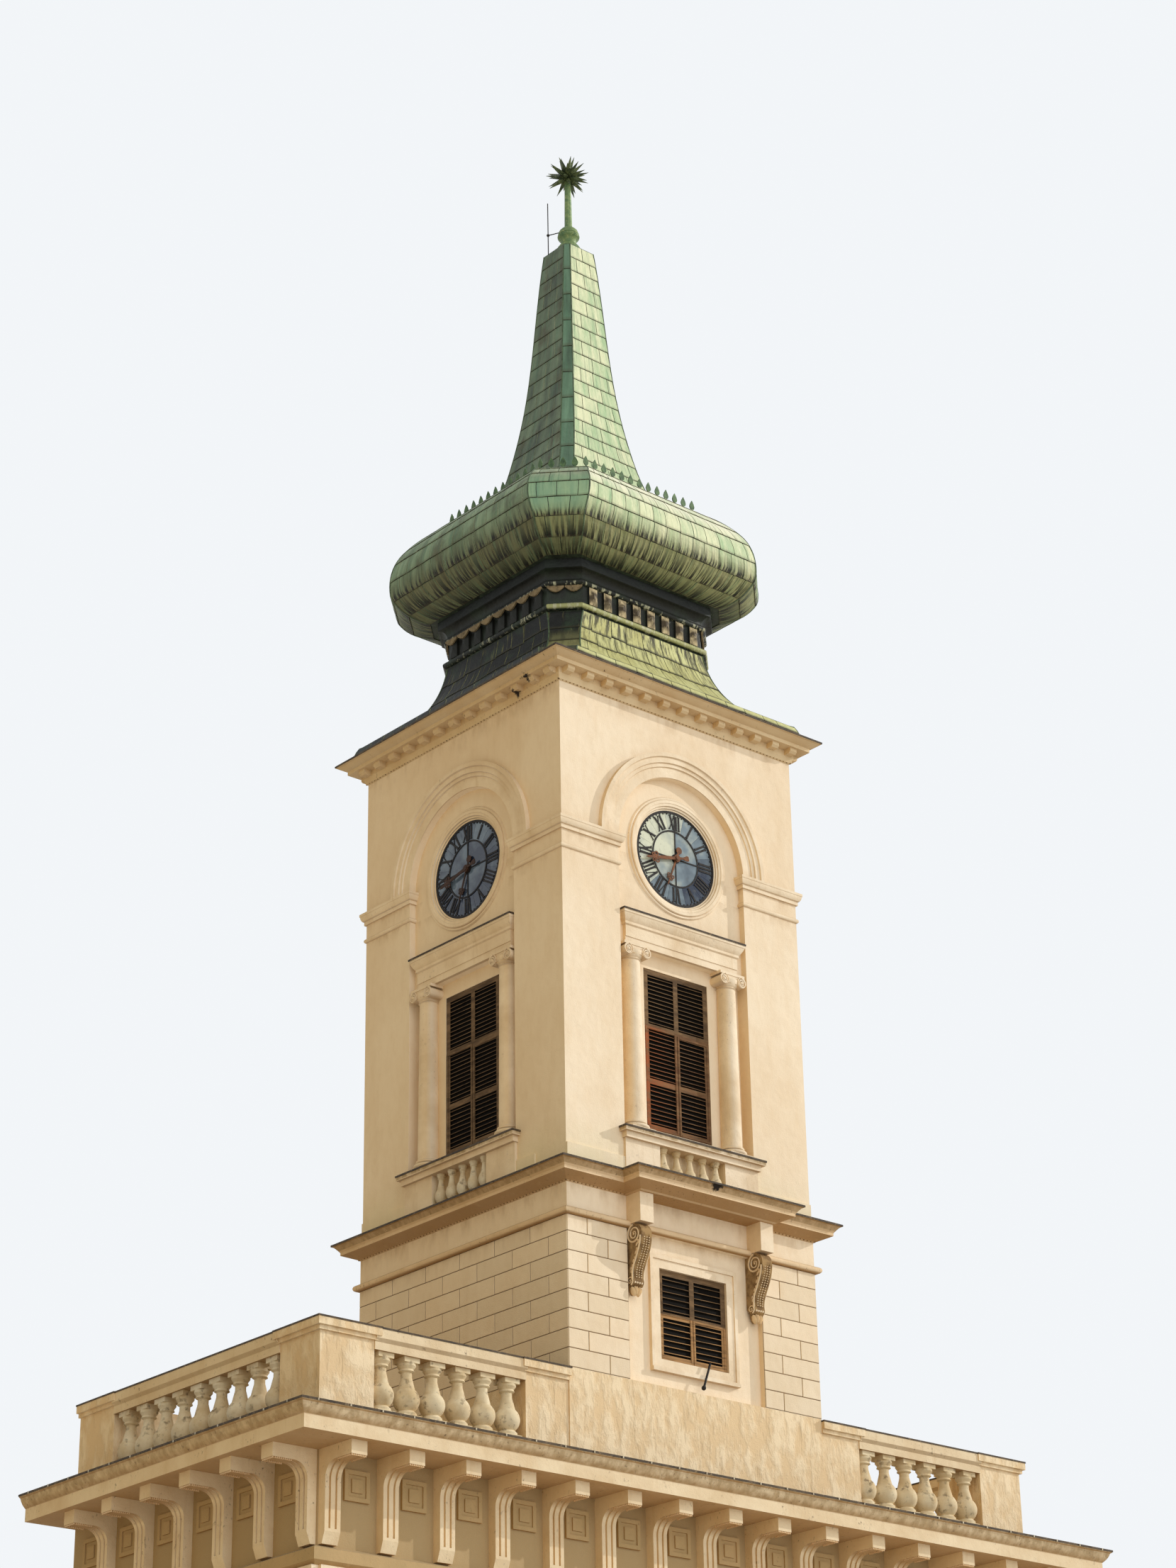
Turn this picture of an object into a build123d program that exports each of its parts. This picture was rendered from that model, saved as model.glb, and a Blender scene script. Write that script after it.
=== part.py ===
from build123d import *
import math
import os

# A church clock tower: a square stuccoed tower on a balustraded block, with a
# two-part bell-shaped copper roof. Millimetres, +Z up, ground at z = 0, the tower's
# axis at x = 0, y = 0, and the front towards -Y.

# Tower, from the terrace up
tower_half = 2500
upper_wall = 700
lower_wall = 800
stage_step = 20
lower_stage_height = 4190
mid_cornice_height = 290
upper_stage_height = 8005
top_cornice_height = 375
roughcast_height = 1400
floor_thick = 250
floor_bearing = 80

# Block under the tower
block_half = 6925
back_strip = 975
block_wall = 900
partition_wall = 800
ground_floor_thick = 180
cornice_soffit = 12550
terrace_thick = 450
cornice_weathering = 80
cornice_reach = 975
slab_bearing = 300
plinth_height = 1200
plinth_step = 120

# Pilasters and frieze of the block
pilaster_width = 920
pilaster_step = 60
pilaster_base = 350
pilaster_cap = 420
band_drop = 1550
band_height = 220
band_reach = 120

# Brackets under the main cornice
bracket_pitch = 968
bracket_width = 260
bracket_front = 725
bracket_head = 190
bracket_head_depth = 355
bracket_strip = 150
bracket_foot = 90
bracket_groove = 34
panel_size = 420
panel_drop = 420
panel_step = 40

# Parapet
parapet_height = 1380
cap_height = 185
cap_reach = 80
small_pier_width = 820
small_pier_depth = 460
rail_height = 310
rail_depth = 380
base_rail_height = 190
baluster_axis = 150
baluster_pitch = 447
baluster_belly = 185
baluster_block = 70
back_parapet_depth = 450

# Entrance
door_half = 1000
door_top = 3900
door_frame = 110
door_depth = 70
surround_width = 300
surround_step = 90
hood_height = 260
hood_reach = 180

# Lower stage: roll, projecting cornice part and its consoles
roll_drop = 390
roll_radius = 52
mid_reach = 330
ressaut_half = 1366
ressaut_step = 350
console_centre = 1225
console_width = 263
console_block = 450
console_front = 2835
console_drop = 860
scroll_width = 205
scroll_top_radius = 165
scroll_low_radius = 78
scroll_eye = 0.2
drop_leaf = 190
panel_half = 1352
panel_recess = 90
low_window_half = 678
low_window_rise = 1830
low_window_height = 1390
low_frame_width = 197
low_frame_step = 55
shutter_thick = 50
shutter_rail = 90
shutter_setback = 10

# Clock stage: niche, columns, dial
niche_half = 1330
niche_depth = 230
tympanum_depth = 115
impost_height = 200
impost_reach = 88
astragal_drop = 515
astragal_height = 75
astragal_reach = 32
archivolt_radius = 1743
archivolt_step = 86
base_step_height = 330
base_step = 30
sill_rise = 795
sill_height = 165
sill_half = 1440
sill_reach = 158
die_inner = 670
die_outer = 1361
die_reach = 47
blind_recess = 160
blind_foot = 90
blind_baluster_count = 5
blind_baluster_belly = 95
belfry_half = 670
belfry_rise = 200
belfry_height = 2650
transom_share = 0.64
mid_rail_share = 0.3
order_height = 3090
column_x = 1008
column_y = 2350
column_foot_radius = 170
column_neck_radius = 150
column_base_height = 190
column_plinth = 235
capital_height = 230
volute_spacing = 374
volute_radius = 98
volute_turns = 2.5
volute_front = 2535
entablature_height = 540
entablature_half = 1180
entablature_face = 2455
entablature_cornice = 245
entablature_reach = 98
dial_rise = 1220

# Dial and hands
dial_radius = 820
frame_radius = 985
frame_front = 2430
glass_front = 2350
glass_thick = 12
frame_sleeve = 25
frame_seat = 50
ring_thick = 15
minute_ring_width = 40
hour_ring_radius = 477
hour_ring_width = 26
bar_width = 20
pipe_radius = 42
arbor_radius = 28
arbor_gap = 2
bush_radius = 80
bush_gap = 1
hand_gap = 12
hand_thick = 12
hub_radius = 62
minute_length = 690
minute_tail = 250
minute_width = 165
minute_blade = 58
hour_length = 545
hour_tail = 165
hour_width = 125
hour_blade = 32
hour_disc = 58
time_minutes = 43
time_hours = 6

# Top cornice
top_reach = 396
top_bed_height = 205
modillion_count = 13
modillion_width = 145
modillion_height = 92
modillion_depth = 150
modillion_inset = 80

# Roof, bottom to top
roof_thick = 120
skirt_foot_half = 2860
skirt_kick = 60
skirt_neck_half = 1740
skirt_height = 1600
corner_cut = 300
neck_height = 890
neck_half = 1725
neck_roll = 55
neck_upper_roll_drop = 375
neck_fascia_half = 1860
neck_fascia_height = 160
neck_block_count = 8
neck_block_pitch = 318
neck_block_width = 170
neck_block_reach = 85
bulb_height = 1810
bulb_half = 2560
bulb_crest_half = 1810
bulb_low_cut = 120
bulb_wide_cut = 200
bulb_shoulder_cut = 175
crest_cut = 90
spire_height = 5700
spire_foot_half = 1350
spire_top_half = 352
spire_foot_cut = 134
spire_top_cut = 58
leaf_height = 240
leaf_width = 110
leaf_thick = 16
leaf_pitch = 200
leaf_curb = 40

# Finial
knob_radius = 200
cap_radius = 300
knob_height = 663
pole_height = 740
pole_radius = 70
pole_neck_radius = 55
star_rise = 350
star_core = 120
star_reach = 395
star_spikes = 46
spike_radius = 58
rod_radius = 9
rod_height = 1205
rod_x = -255
rod_y = 272
insulator_rise = 510
arm_rise = 585
insulator_radius = 28

# Levels that follow from the heights
terrace_level = cornice_soffit + terrace_thick
cornice_tip = terrace_level - cornice_weathering
band_level = cornice_soffit - band_drop
panel_centre = cornice_soffit - panel_drop
parapet_top = terrace_level + parapet_height
roughcast_top = terrace_level + roughcast_height
mid_bed_level = terrace_level + lower_stage_height
mid_top_level = mid_bed_level + mid_cornice_height
roll_level = mid_bed_level - roll_drop
low_window_sill = terrace_level + low_window_rise
low_window_top = low_window_sill + low_window_height
sill_top = mid_top_level + sill_rise
belfry_sill = sill_top + belfry_rise
belfry_top = belfry_sill + belfry_height
architrave_level = sill_top + order_height
entablature_top = architrave_level + entablature_height
impost_level = entablature_top + dial_rise
astragal_level = impost_level - astragal_drop
top_bed_level = mid_top_level + upper_stage_height
top_soffit = top_bed_level + top_bed_height
top_level = top_bed_level + top_cornice_height
skirt_top = top_level + skirt_height
skirt_radius = skirt_height - 100
neck_top = skirt_top + neck_height
neck_upper_roll_level = neck_top - neck_upper_roll_drop
bulb_top = neck_top + bulb_height
spire_top = bulb_top + spire_height
knob_top = spire_top + knob_height
pole_top = knob_top + pole_height
star_centre = pole_top + star_rise

far = 20000
sky = 2 * far
front, left, back, right = 0, -90, 180, 90
sides = (front, left, back, right)


def upright(face):
    # a drawing in x and z, standing in the plane y = 0
    return Plane.XZ * face


def run(face, start, end):
    # a drawing in x and z, carried along y from start to end
    return Pos(0, start, 0) * extrude(upright(face), amount=end - start, dir=(0, 1, 0))


def around(solid, angles=sides):
    return [Rot(0, 0, a) * solid for a in angles]


def box(x0, x1, y0, y1, z0, z1):
    return Pos((x0 + x1) / 2, (y0 + y1) / 2, (z0 + z1) / 2) * Box(x1 - x0, y1 - y0, z1 - z0)


def closed(edges):
    # closes a half profile, drawn bottom to top, back to the axis, and mirrors it
    foot, head = edges[0] @ 0, edges[-1] @ 1
    half = make_face(
        edges + [Line(head, (0, head.Y)), Line((0, head.Y), (0, foot.Y)), Line((0, foot.Y), foot)]
    )
    return half + mirror(half, about=Plane.YZ)


def square_plan(edges):
    side = run(closed(edges), -far, far)
    return side & Rot(0, 0, 90) * side


def chamfered_plan(edges, diagonal_edges):
    diagonal = run(closed(diagonal_edges), -far, far)
    return square_plan(edges) & Rot(0, 0, 45) * diagonal & Rot(0, 0, -45) * diagonal


def steps(half, *profile):
    # straight and curved pieces of a moulding, from (reach, height) points; a point
    # with a third value is the middle of an arc to the next one
    edges, last, middle = [], None, None
    for point in profile:
        place = (half + point[0], point[1])
        if len(point) == 3:
            middle = place
            continue
        if last is not None:
            edges.append(ThreePointArc(last, middle, place) if middle else Line(last, place))
        last, middle = place, None
    return edges


def baluster(foot, head, belly, block=0):
    # a turned baluster, on a square block and under another where it has room for them
    low, high = foot + block, head - block
    height = high - low
    neck, cap = belly * 0.42, belly * 0.72
    line = steps(
        0, (belly * 0.8, low), (belly * 0.8, low + 0.05 * height), (belly * 0.6, low + 0.1 * height),
        (belly, low + 0.27 * height, "arc"), (belly * 0.66, low + 0.5 * height),
        (neck, low + 0.74 * height), (neck, low + 0.82 * height), (cap * 0.85, low + 0.85 * height),
        (cap * 0.75, low + 0.89 * height), (cap, low + 0.95 * height), (cap, high),
    )
    turned = revolve(upright(make_face([Line((0, low), line[0] @ 0)] + line + [
        Line(line[-1] @ 1, (0, high)), Line((0, high), (0, low))])), Axis.Z)
    if block:
        turned += box(-belly * 0.82, belly * 0.82, -belly * 0.82, belly * 0.82, foot, low)
        turned += box(-cap, cap, -cap, cap, high, head)
    return turned


def flat(pieces):
    # every solid in a list of shapes and lists of shapes
    if isinstance(pieces, (list, tuple)):
        return [body for piece in pieces for body in flat(piece)]
    return list(pieces.solids())


def save(name, *pieces):
    bodies = flat(pieces)
    shape = bodies[0] if len(bodies) == 1 else Compound(children=bodies)
    shape.label = name
    export_step(shape, f"parts/{name}.step")


# Block walls, hollow, with the doorway cut through the front
def block_walls():
    block_back = tower_half + back_strip
    inner = block_half - block_wall
    face = -tower_half
    front_wall = box(-block_half, block_half, face, face + block_wall, 0, cornice_soffit)
    front_wall -= box(-door_half, door_half, face - 1, face + block_wall + 1, -1, door_top)
    back_wall = box(-block_half, block_half, block_back - block_wall, block_back, 0, cornice_soffit)
    side_wall = box(inner, block_half, face + block_wall, block_back - block_wall, 0, cornice_soffit)
    save("block_wall_front", front_wall)
    save("block_wall_back", back_wall)
    save("block_side_walls", side_wall, mirror(side_wall, about=Plane.YZ))
    carrier = tower_half + stage_step
    partition = box(carrier - partition_wall, carrier, face + block_wall,
                    block_back - block_wall, ground_floor_thick, cornice_soffit)
    save("tower_base_walls", partition, mirror(partition, about=Plane.YZ))
    lofts = tower_half - upper_wall
    bearing = lofts + floor_bearing
    save("inner_floors",
         box(-inner, inner, face + block_wall, block_back - block_wall, 0, ground_floor_thick),
         box(-lofts, lofts, -lofts, lofts, mid_bed_level, mid_bed_level + floor_thick),
         box(-bearing, bearing, -bearing, bearing, top_bed_level, top_bed_level + floor_thick))
    save("terrace_slab", box(-inner - slab_bearing, inner + slab_bearing,
                             face + block_wall - slab_bearing, block_back, cornice_soffit,
                             terrace_level))


def wrap(edges_at, inner_x, inner_front):
    # a course round the block's front and two sides, mitred at the corners
    block_back = tower_half + back_strip
    long_way = run(closed(edges_at(block_half)), -far, block_back)
    front_way = Rot(0, 0, 90) * run(closed(edges_at(tower_half)), -far, far)
    body = long_way & (front_way + box(-far, far, 0, block_back, 0, sky))
    return body - box(-inner_x, inner_x, inner_front, far, 0, sky)


def plinth_and_pilasters():
    face = -tower_half
    inner = block_half
    plinth = wrap(lambda h: steps(h, (plinth_step, 0), (plinth_step, plinth_height - 80),
                                  (0, plinth_height)), inner, face)
    plinth -= box(-door_half - surround_width, door_half + surround_width, -far, 0, -1, plinth_height + 1)
    save("plinth", plinth)
    low, high = plinth_height, band_level
    pier_centre = tower_half + small_pier_width / 2
    corner_centre = block_half - pilaster_width / 2
    columns = []
    for x, width in ((corner_centre, pilaster_width), (pier_centre, small_pier_width)):
        for sign in (-1, 1):
            columns.append(pilaster(sign * x, width, low, high))
    side = Pos(block_half - tower_half, 0, 0) * Rot(0, 0, 90) * pilaster(
        -tower_half + pilaster_width / 2, pilaster_width, low, high)
    rear = Pos(0, 2 * tower_half + back_strip - pilaster_width, 0) * side
    rear &= box(-far, far, -far, tower_half + back_strip, 0, sky)
    for solid in (side, rear):
        columns += [solid, mirror(solid, about=Plane.YZ)]
    save("pilasters", columns)
    band = wrap(lambda h: steps(h, (pilaster_step, band_level), (band_reach, band_level + 60),
                                (band_reach, band_level + band_height), (0, band_level + band_height + 60)),
                inner, face)
    save("frieze_band", band)


def pilaster(x, width, low, high):
    half = width / 2
    face = -tower_half

    def part(grow, bottom, top):
        return box(x - half - grow, x + half + grow, face - pilaster_step - grow, face, bottom, top)

    shaft = part(0, low + pilaster_base, high - pilaster_cap)
    foot = part(50, low, low + pilaster_base - 80) + part(25, low + pilaster_base - 80, low + pilaster_base)
    head = part(20, high - pilaster_cap, high - 180) + part(55, high - 180, high)
    # at a corner the mouldings end flush with the block
    return (shaft + foot + head) & box(-block_half, block_half, -far, face, 0, sky)


# Main cornice on its brackets, with raised square panels between them
def main_cornice():
    inner = block_half - block_wall + slab_bearing
    cornice = wrap(lambda h: steps(
        h, (0, cornice_soffit), (cornice_reach - 120, cornice_soffit),
        (cornice_reach - 120, cornice_soffit + 185), (cornice_reach - 70, cornice_soffit + 235, "arc"),
        (cornice_reach - 25, cornice_tip - 45), (cornice_reach, cornice_tip - 30),
        (cornice_reach, cornice_tip), (0, terrace_level)), inner, -tower_half + block_wall - slab_bearing)
    save("main_cornice", cornice)
    places = []
    count = int(block_half / bracket_pitch)
    for i in range(-count, count + 1):
        places.append((0, i * bracket_pitch))
    first = block_half - count * bracket_pitch
    side_places = []
    y = -tower_half + first
    while y + bracket_width / 2 < tower_half + back_strip:
        side_places.append(y)
        y += bracket_pitch
    brackets, panels = [], []
    solid = bracket()
    tile = frieze_panel()
    for _, x in places:
        brackets.append(Pos(x, -tower_half, 0) * solid)
        if x < count * bracket_pitch:
            panels.append(Pos(x + bracket_pitch / 2, -tower_half, 0) * tile)
    for y in side_places:
        for sign in (-1, 1):
            brackets.append(Pos(sign * block_half, y, 0) * Rot(0, 0, 90 * sign) * solid)
            if y + bracket_pitch < tower_half + back_strip:
                turned = Rot(0, 0, 90 * sign) * tile
                panels.append(Pos(sign * block_half, y + bracket_pitch / 2, 0) * turned)
    save("cornice_brackets", brackets)
    save("frieze_panels", panels)


def bracket():
    # a square head carried by a strip that sweeps out to it in a hollow quarter round,
    # with grooves that follow the sweep
    head_low = cornice_soffit - bracket_head
    foot = band_level + band_height + 60
    root = bracket_front - bracket_head_depth
    sweep = root - bracket_strip
    turn = sweep * (1 - math.sqrt(0.5))
    side = make_face([
        Line((0, foot), (-bracket_foot, foot)),
        Line((-bracket_foot, foot), (-bracket_strip, foot + 160)),
        Line((-bracket_strip, foot + 160), (-bracket_strip, head_low - sweep)),
        ThreePointArc((-bracket_strip, head_low - sweep), (-bracket_strip - turn, head_low - turn),
                      (-root, head_low)),
        Line((-root, head_low), (-bracket_front, head_low)),
        Line((-bracket_front, head_low), (-bracket_front, cornice_soffit)),
        Line((-bracket_front, cornice_soffit), (0, cornice_soffit)),
        Line((0, cornice_soffit), (0, foot)),
    ])
    body = Pos(-bracket_width / 2, 0, 0) * extrude(Plane.YZ * side, amount=bracket_width)
    below = box(-far, far, -root, far, foot + 200, head_low)
    for x in (-bracket_width / 5, bracket_width / 5):
        band = body & below & box(x - bracket_groove / 2, x + bracket_groove / 2, -far, far, 0, sky)
        body -= band - Pos(0, bracket_groove, 0) * band
    return body


def frieze_panel():
    half, rim = panel_size / 2, 60
    low, high = panel_centre - half, panel_centre + half
    tile = box(-half, half, -panel_step, 0, low, high)
    tile -= box(-half + rim, half - rim, -panel_step - 1, -panel_step / 2, low + rim, high - rim)
    return tile + box(-half + 2 * rim, half - 2 * rim, -panel_step, 0, low + 2 * rim, high - 2 * rim)


# Parapet of both wings
def parapet():
    face = -tower_half
    corner = block_half - pilaster_width
    block_back = tower_half + back_strip
    base_top = terrace_level + base_rail_height
    rail_low = parapet_top - rail_height
    rail_near, rail_far = face - 60, face - 60 + rail_depth

    def capped(x0, x1, y0, y1, back_reach=cap_reach, inner_reach=cap_reach):
        body = box(x0, x1, y0, y1, terrace_level, parapet_top - cap_height)
        body += box(x0 - inner_reach / 2, x1 + cap_reach / 2, y0 - cap_reach / 2, y1 + back_reach / 2,
                    parapet_top - cap_height, parapet_top - cap_height + 60)
        return body + box(x0 - inner_reach, x1 + cap_reach, y0 - cap_reach, y1 + back_reach,
                          parapet_top - cap_height + 60, parapet_top)

    tower_side = tower_half + stage_step
    small = capped(tower_side, tower_half + small_pier_width, face, face + small_pier_depth, inner_reach=0)
    big = capped(corner, block_half, face, face + pilaster_width)
    rear = capped(block_half - back_parapet_depth, block_half, block_back - pilaster_width, block_back,
                  back_reach=0)
    rear_wall = box(-block_half + back_parapet_depth, block_half - back_parapet_depth,
                    block_back - back_parapet_depth, block_back, terrace_level, parapet_top)
    fronts = [small, big]
    fronts += [mirror(p, about=Plane.YZ) for p in fronts]
    backs = [rear, mirror(rear, about=Plane.YZ)]
    save("parapet_pedestals", fronts, backs)
    save("parapet_back_wall", rear_wall - backs[0] - backs[1])

    x0, x1 = tower_half + small_pier_width, corner
    y0, y1 = face + pilaster_width, block_back - pilaster_width
    inset = block_half - rail_depth + 60
    base = [box(x0, x1, rail_near, rail_far, terrace_level, base_top),
            box(inset, block_half + 60, y0, y1, terrace_level, base_top)]
    rail = [rail_length(x1 - x0, x0, face - 60),
            Pos(block_half - tower_half, 0, 0) * Rot(0, 0, 90) * rail_length(y1 - y0, y0, face - 60)]
    rails = [r - small - big - rear for r in rail] + base
    save("parapet_rails", rails + [mirror(r, about=Plane.YZ) for r in rails])

    turned = baluster(base_top, rail_low, baluster_belly, baluster_block)
    balusters = []
    for i in range(round((x1 - x0) / baluster_pitch)):
        x = x0 + (i + 0.5) * (x1 - x0) / round((x1 - x0) / baluster_pitch)
        balusters += [Pos(sign * x, face + baluster_axis, 0) * turned for sign in (-1, 1)]
    count = round((y1 - y0) / baluster_pitch)
    for i in range(count):
        y = y0 + (i + 0.5) * (y1 - y0) / count
        balusters += [Pos(sign * (block_half - baluster_axis), y, 0) * turned for sign in (-1, 1)]
    save("parapet_balusters", balusters)


def rail_length(length, start, near):
    low = parapet_top - rail_height
    middle = near + rail_depth / 2
    half = rail_depth / 2
    section = make_face(Polyline(
        (-half + 40, low), (half - 40, low), (half - 40, low + 110), (half, low + 160), (half, parapet_top),
        (-half, parapet_top), (-half, low + 160), (-half + 40, low + 110), close=True))
    return Pos(start, middle, 0) * extrude(Plane.YZ * section, amount=length)


# Entrance, closed
def entrance():
    face = -tower_half
    inner = door_half - door_frame
    back_of_leaf = face + block_wall / 2
    leaf = box(-inner, inner, back_of_leaf - door_depth, back_of_leaf, 0, door_top - door_frame)
    for sign in (-1, 1):
        for low, high in ((250, 1150), (1350, 2500), (2700, 3550)):
            x0, x1 = sorted((sign * 140, sign * (inner - 140)))
            leaf -= box(x0, x1, back_of_leaf - door_depth - 1, back_of_leaf - door_depth + 20, low, high)
    leaf -= box(-4, 4, back_of_leaf - door_depth - 1, back_of_leaf - door_depth + 25, 0, sky)
    frame = box(-door_half, door_half, back_of_leaf - 120, back_of_leaf + 60, 0, door_top)
    frame -= box(-inner, inner, -far, far, -1, door_top - door_frame)
    save("entrance_door", leaf + frame)
    outer = door_half + surround_width
    surround = box(-outer, outer, face - surround_step, face, 0, door_top + surround_width)
    surround += box(-outer - hood_reach / 2, outer + hood_reach / 2, face - surround_step - hood_reach / 2,
                    face, door_top + surround_width, door_top + surround_width + hood_height / 2)
    surround += box(-outer - hood_reach, outer + hood_reach, face - surround_step - hood_reach, face,
                    door_top + surround_width + hood_height / 2, door_top + surround_width + hood_height)
    surround -= box(-door_half, door_half, -far, 0, -1, door_top)
    surround -= box(-outer + 90, outer - 90, face - surround_step - 1, face - surround_step + 30,
                    -1, door_top + surround_width - 90)
    save("entrance_surround", surround)


# Lower stage of the tower, with the low window and its panel in front
def lower_stage():
    half = tower_half + stage_step
    inner = half - lower_wall
    front_wall = box(-half, half, -half, -inner, terrace_level, mid_bed_level)
    front_wall -= box(-panel_half, panel_half, -half - 1, -half + panel_recess, roughcast_top,
                      roll_level - 2 * roll_radius)
    front_wall -= box(-low_window_half, low_window_half, -far, 0, low_window_sill, low_window_top)
    save("lower_wall_front", front_wall)
    save("lower_wall_back", box(-half, half, inner, half, terrace_level, mid_bed_level))
    side = box(inner, half, -inner, inner, terrace_level, mid_bed_level)
    save("lower_side_walls", side, mirror(side, about=Plane.YZ))
    face = -half + panel_recess
    outer = low_window_half + low_frame_width
    low, high = low_window_sill - low_frame_width, low_window_top + low_frame_width
    frame = box(-outer, outer, face - low_frame_step, face, low, high)
    frame += box(-outer, outer, face - low_frame_step - 25, face, low, low + 60)
    frame -= box(-outer + 60, outer - 60, face - low_frame_step - 1, face - low_frame_step + 20,
                 low + 60, high - 60)
    frame -= box(-low_window_half, low_window_half, -far, 0, low_window_sill, low_window_top)
    save("low_window_frame", frame)
    save("low_window_shutter", shutter(low_window_half, low_window_sill, low_window_top,
                                       face + shutter_setback, (0.5,)))


def shutter(half, low, high, face, rails):
    # frame and rails proud of a thin backing that stands for the louvres
    body = box(-half, half, face + shutter_thick / 2, face + shutter_thick, low, high)
    body += box(-half, half, face, face + shutter_thick, low, low + shutter_rail)
    body += box(-half, half, face, face + shutter_thick, high - shutter_rail, high)
    for x in (-half + shutter_rail / 2, 0, half - shutter_rail / 2):
        body += box(x - shutter_rail / 2, x + shutter_rail / 2, face, face + shutter_thick, low, high)
    for share in rails:
        z = low + share * (high - low)
        body += box(-half, half, face, face + shutter_thick, z - shutter_rail / 2, z + shutter_rail / 2)
    return body


# Roll, middle cornice with the projecting part in front, and its consoles
def middle_cornice():
    half = tower_half + stage_step
    r = roll_radius
    roll = square_plan(steps(half, (0, roll_level - 2 * r), (r * 0.7, roll_level - 2 * r),
                             (r * 1.7, roll_level - r, "arc"), (r * 0.7, roll_level), (0, roll_level)))
    save("roll_moulding", roll - box(-half, half, -half, half, 0, sky))

    def profile(h):
        return steps(h, (0, mid_bed_level), (25, mid_bed_level + 20), (mid_reach - 100, mid_bed_level + 105),
                     (mid_reach - 100, mid_bed_level + 150), (mid_reach - 70, mid_bed_level + 190, "arc"),
                     (mid_reach - 20, mid_top_level - 45), (mid_reach, mid_top_level - 40),
                     (mid_reach, mid_top_level - 15), (-stage_step, mid_top_level))

    ring = square_plan(profile(half))
    across = run(closed(profile(ressaut_half)), -far, 0)
    along = Pos(0, -ressaut_step, 0) * Rot(0, 0, 90) * run(closed(profile(half)), -far, far)
    ring += across & along & box(-far, far, -far, 0, 0, sky)
    hollow = tower_half - upper_wall
    ring -= box(-hollow, hollow, -hollow, hollow, 0, sky)
    save("mid_cornice", ring)
    consoles = []
    for sign in (-1, 1):
        block = box(-console_width / 2, console_width / 2, -console_front, -half + panel_recess,
                    mid_bed_level - console_block, mid_bed_level)
        consoles.append(Pos(sign * console_centre, 0, 0) * (block + scroll_console()))
    recess = box(-far, far, -half, 0, roll_level - 2 * roll_radius, mid_bed_level)
    roll_cut = roll & box(-far, far, -far, -half, 0, sky)
    save("cornice_consoles", [c - recess - roll_cut for c in consoles])


def scroll_console():
    # side view: a big scroll under the block, an S that sweeps in to the wall, a small
    # scroll, and a drop of leaves under it
    top = mid_bed_level - console_block
    wall = -(tower_half + stage_step) + panel_recess
    big_y, big_z = -console_front + scroll_top_radius + 20, top - scroll_top_radius
    low_y, low_z = wall - scroll_low_radius - 30, top - console_drop
    front_y = big_y - scroll_top_radius
    corner = scroll_top_radius * math.sqrt(0.5)
    s_curve = make_face([
        Spline((front_y, big_z), (front_y + 20, big_z - 170), (front_y + 105, big_z - 360),
               (front_y + 185, big_z - 520), (low_y - scroll_low_radius, low_z)),
        Line((low_y - scroll_low_radius, low_z), (wall, low_z)),
        Line((wall, low_z), (wall, top)),
        Line((wall, top), (big_y, top)),
        ThreePointArc((big_y, top), (big_y - corner, big_z + corner), (front_y, big_z)),
    ])
    body = Pos(-scroll_width / 2, 0, 0) * extrude(Plane.YZ * s_curve, amount=scroll_width)
    # a shallow channel down the front, between two raised edges
    channel = Pos(-scroll_width * 0.28, 0, 0) * extrude(Plane.YZ * s_curve, amount=scroll_width * 0.56)
    channel &= box(-far, far, -far, far, low_z + scroll_low_radius, big_z)
    body -= channel - Pos(0, 14, 0) * channel
    leaf = loft([
        Plane((0, low_y + 30, low_z), x_dir=(1, 0, 0), z_dir=(0, 0, -1)) * Ellipse(scroll_width * 0.4, 78),
        Plane((0, low_y + 45, low_z - drop_leaf * 0.55), x_dir=(1, 0, 0), z_dir=(0, 0, -1)) * Ellipse(
            scroll_width * 0.36, 62),
        Plane((0, low_y + 70, low_z - drop_leaf), x_dir=(1, 0, 0), z_dir=(0, 0, -1)) * Ellipse(
            scroll_width * 0.1, 22),
    ])
    body += leaf
    for y, z, r in ((big_y, big_z, scroll_top_radius), (low_y, low_z, scroll_low_radius)):
        body += Pos(0, y, z) * Rot(0, 90, 0) * Cylinder(r, scroll_width)
        for sign in (-1, 1):
            spiral = side_scroll(r, 10)
            turned = Rot(0, 0, 90 * sign) * spiral if sign > 0 else Rot(0, 0, -90) * mirror(
                spiral, about=Plane.YZ)
            body += Pos(sign * scroll_width / 2, y, z) * turned
    return body & box(-far, far, -far, wall, 0, sky)


def side_scroll(radius, height):
    # a flat spiral band with its eye, lying in the plane y = 0 and standing out to -Y
    return volute(radius, 2.25, height)


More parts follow.
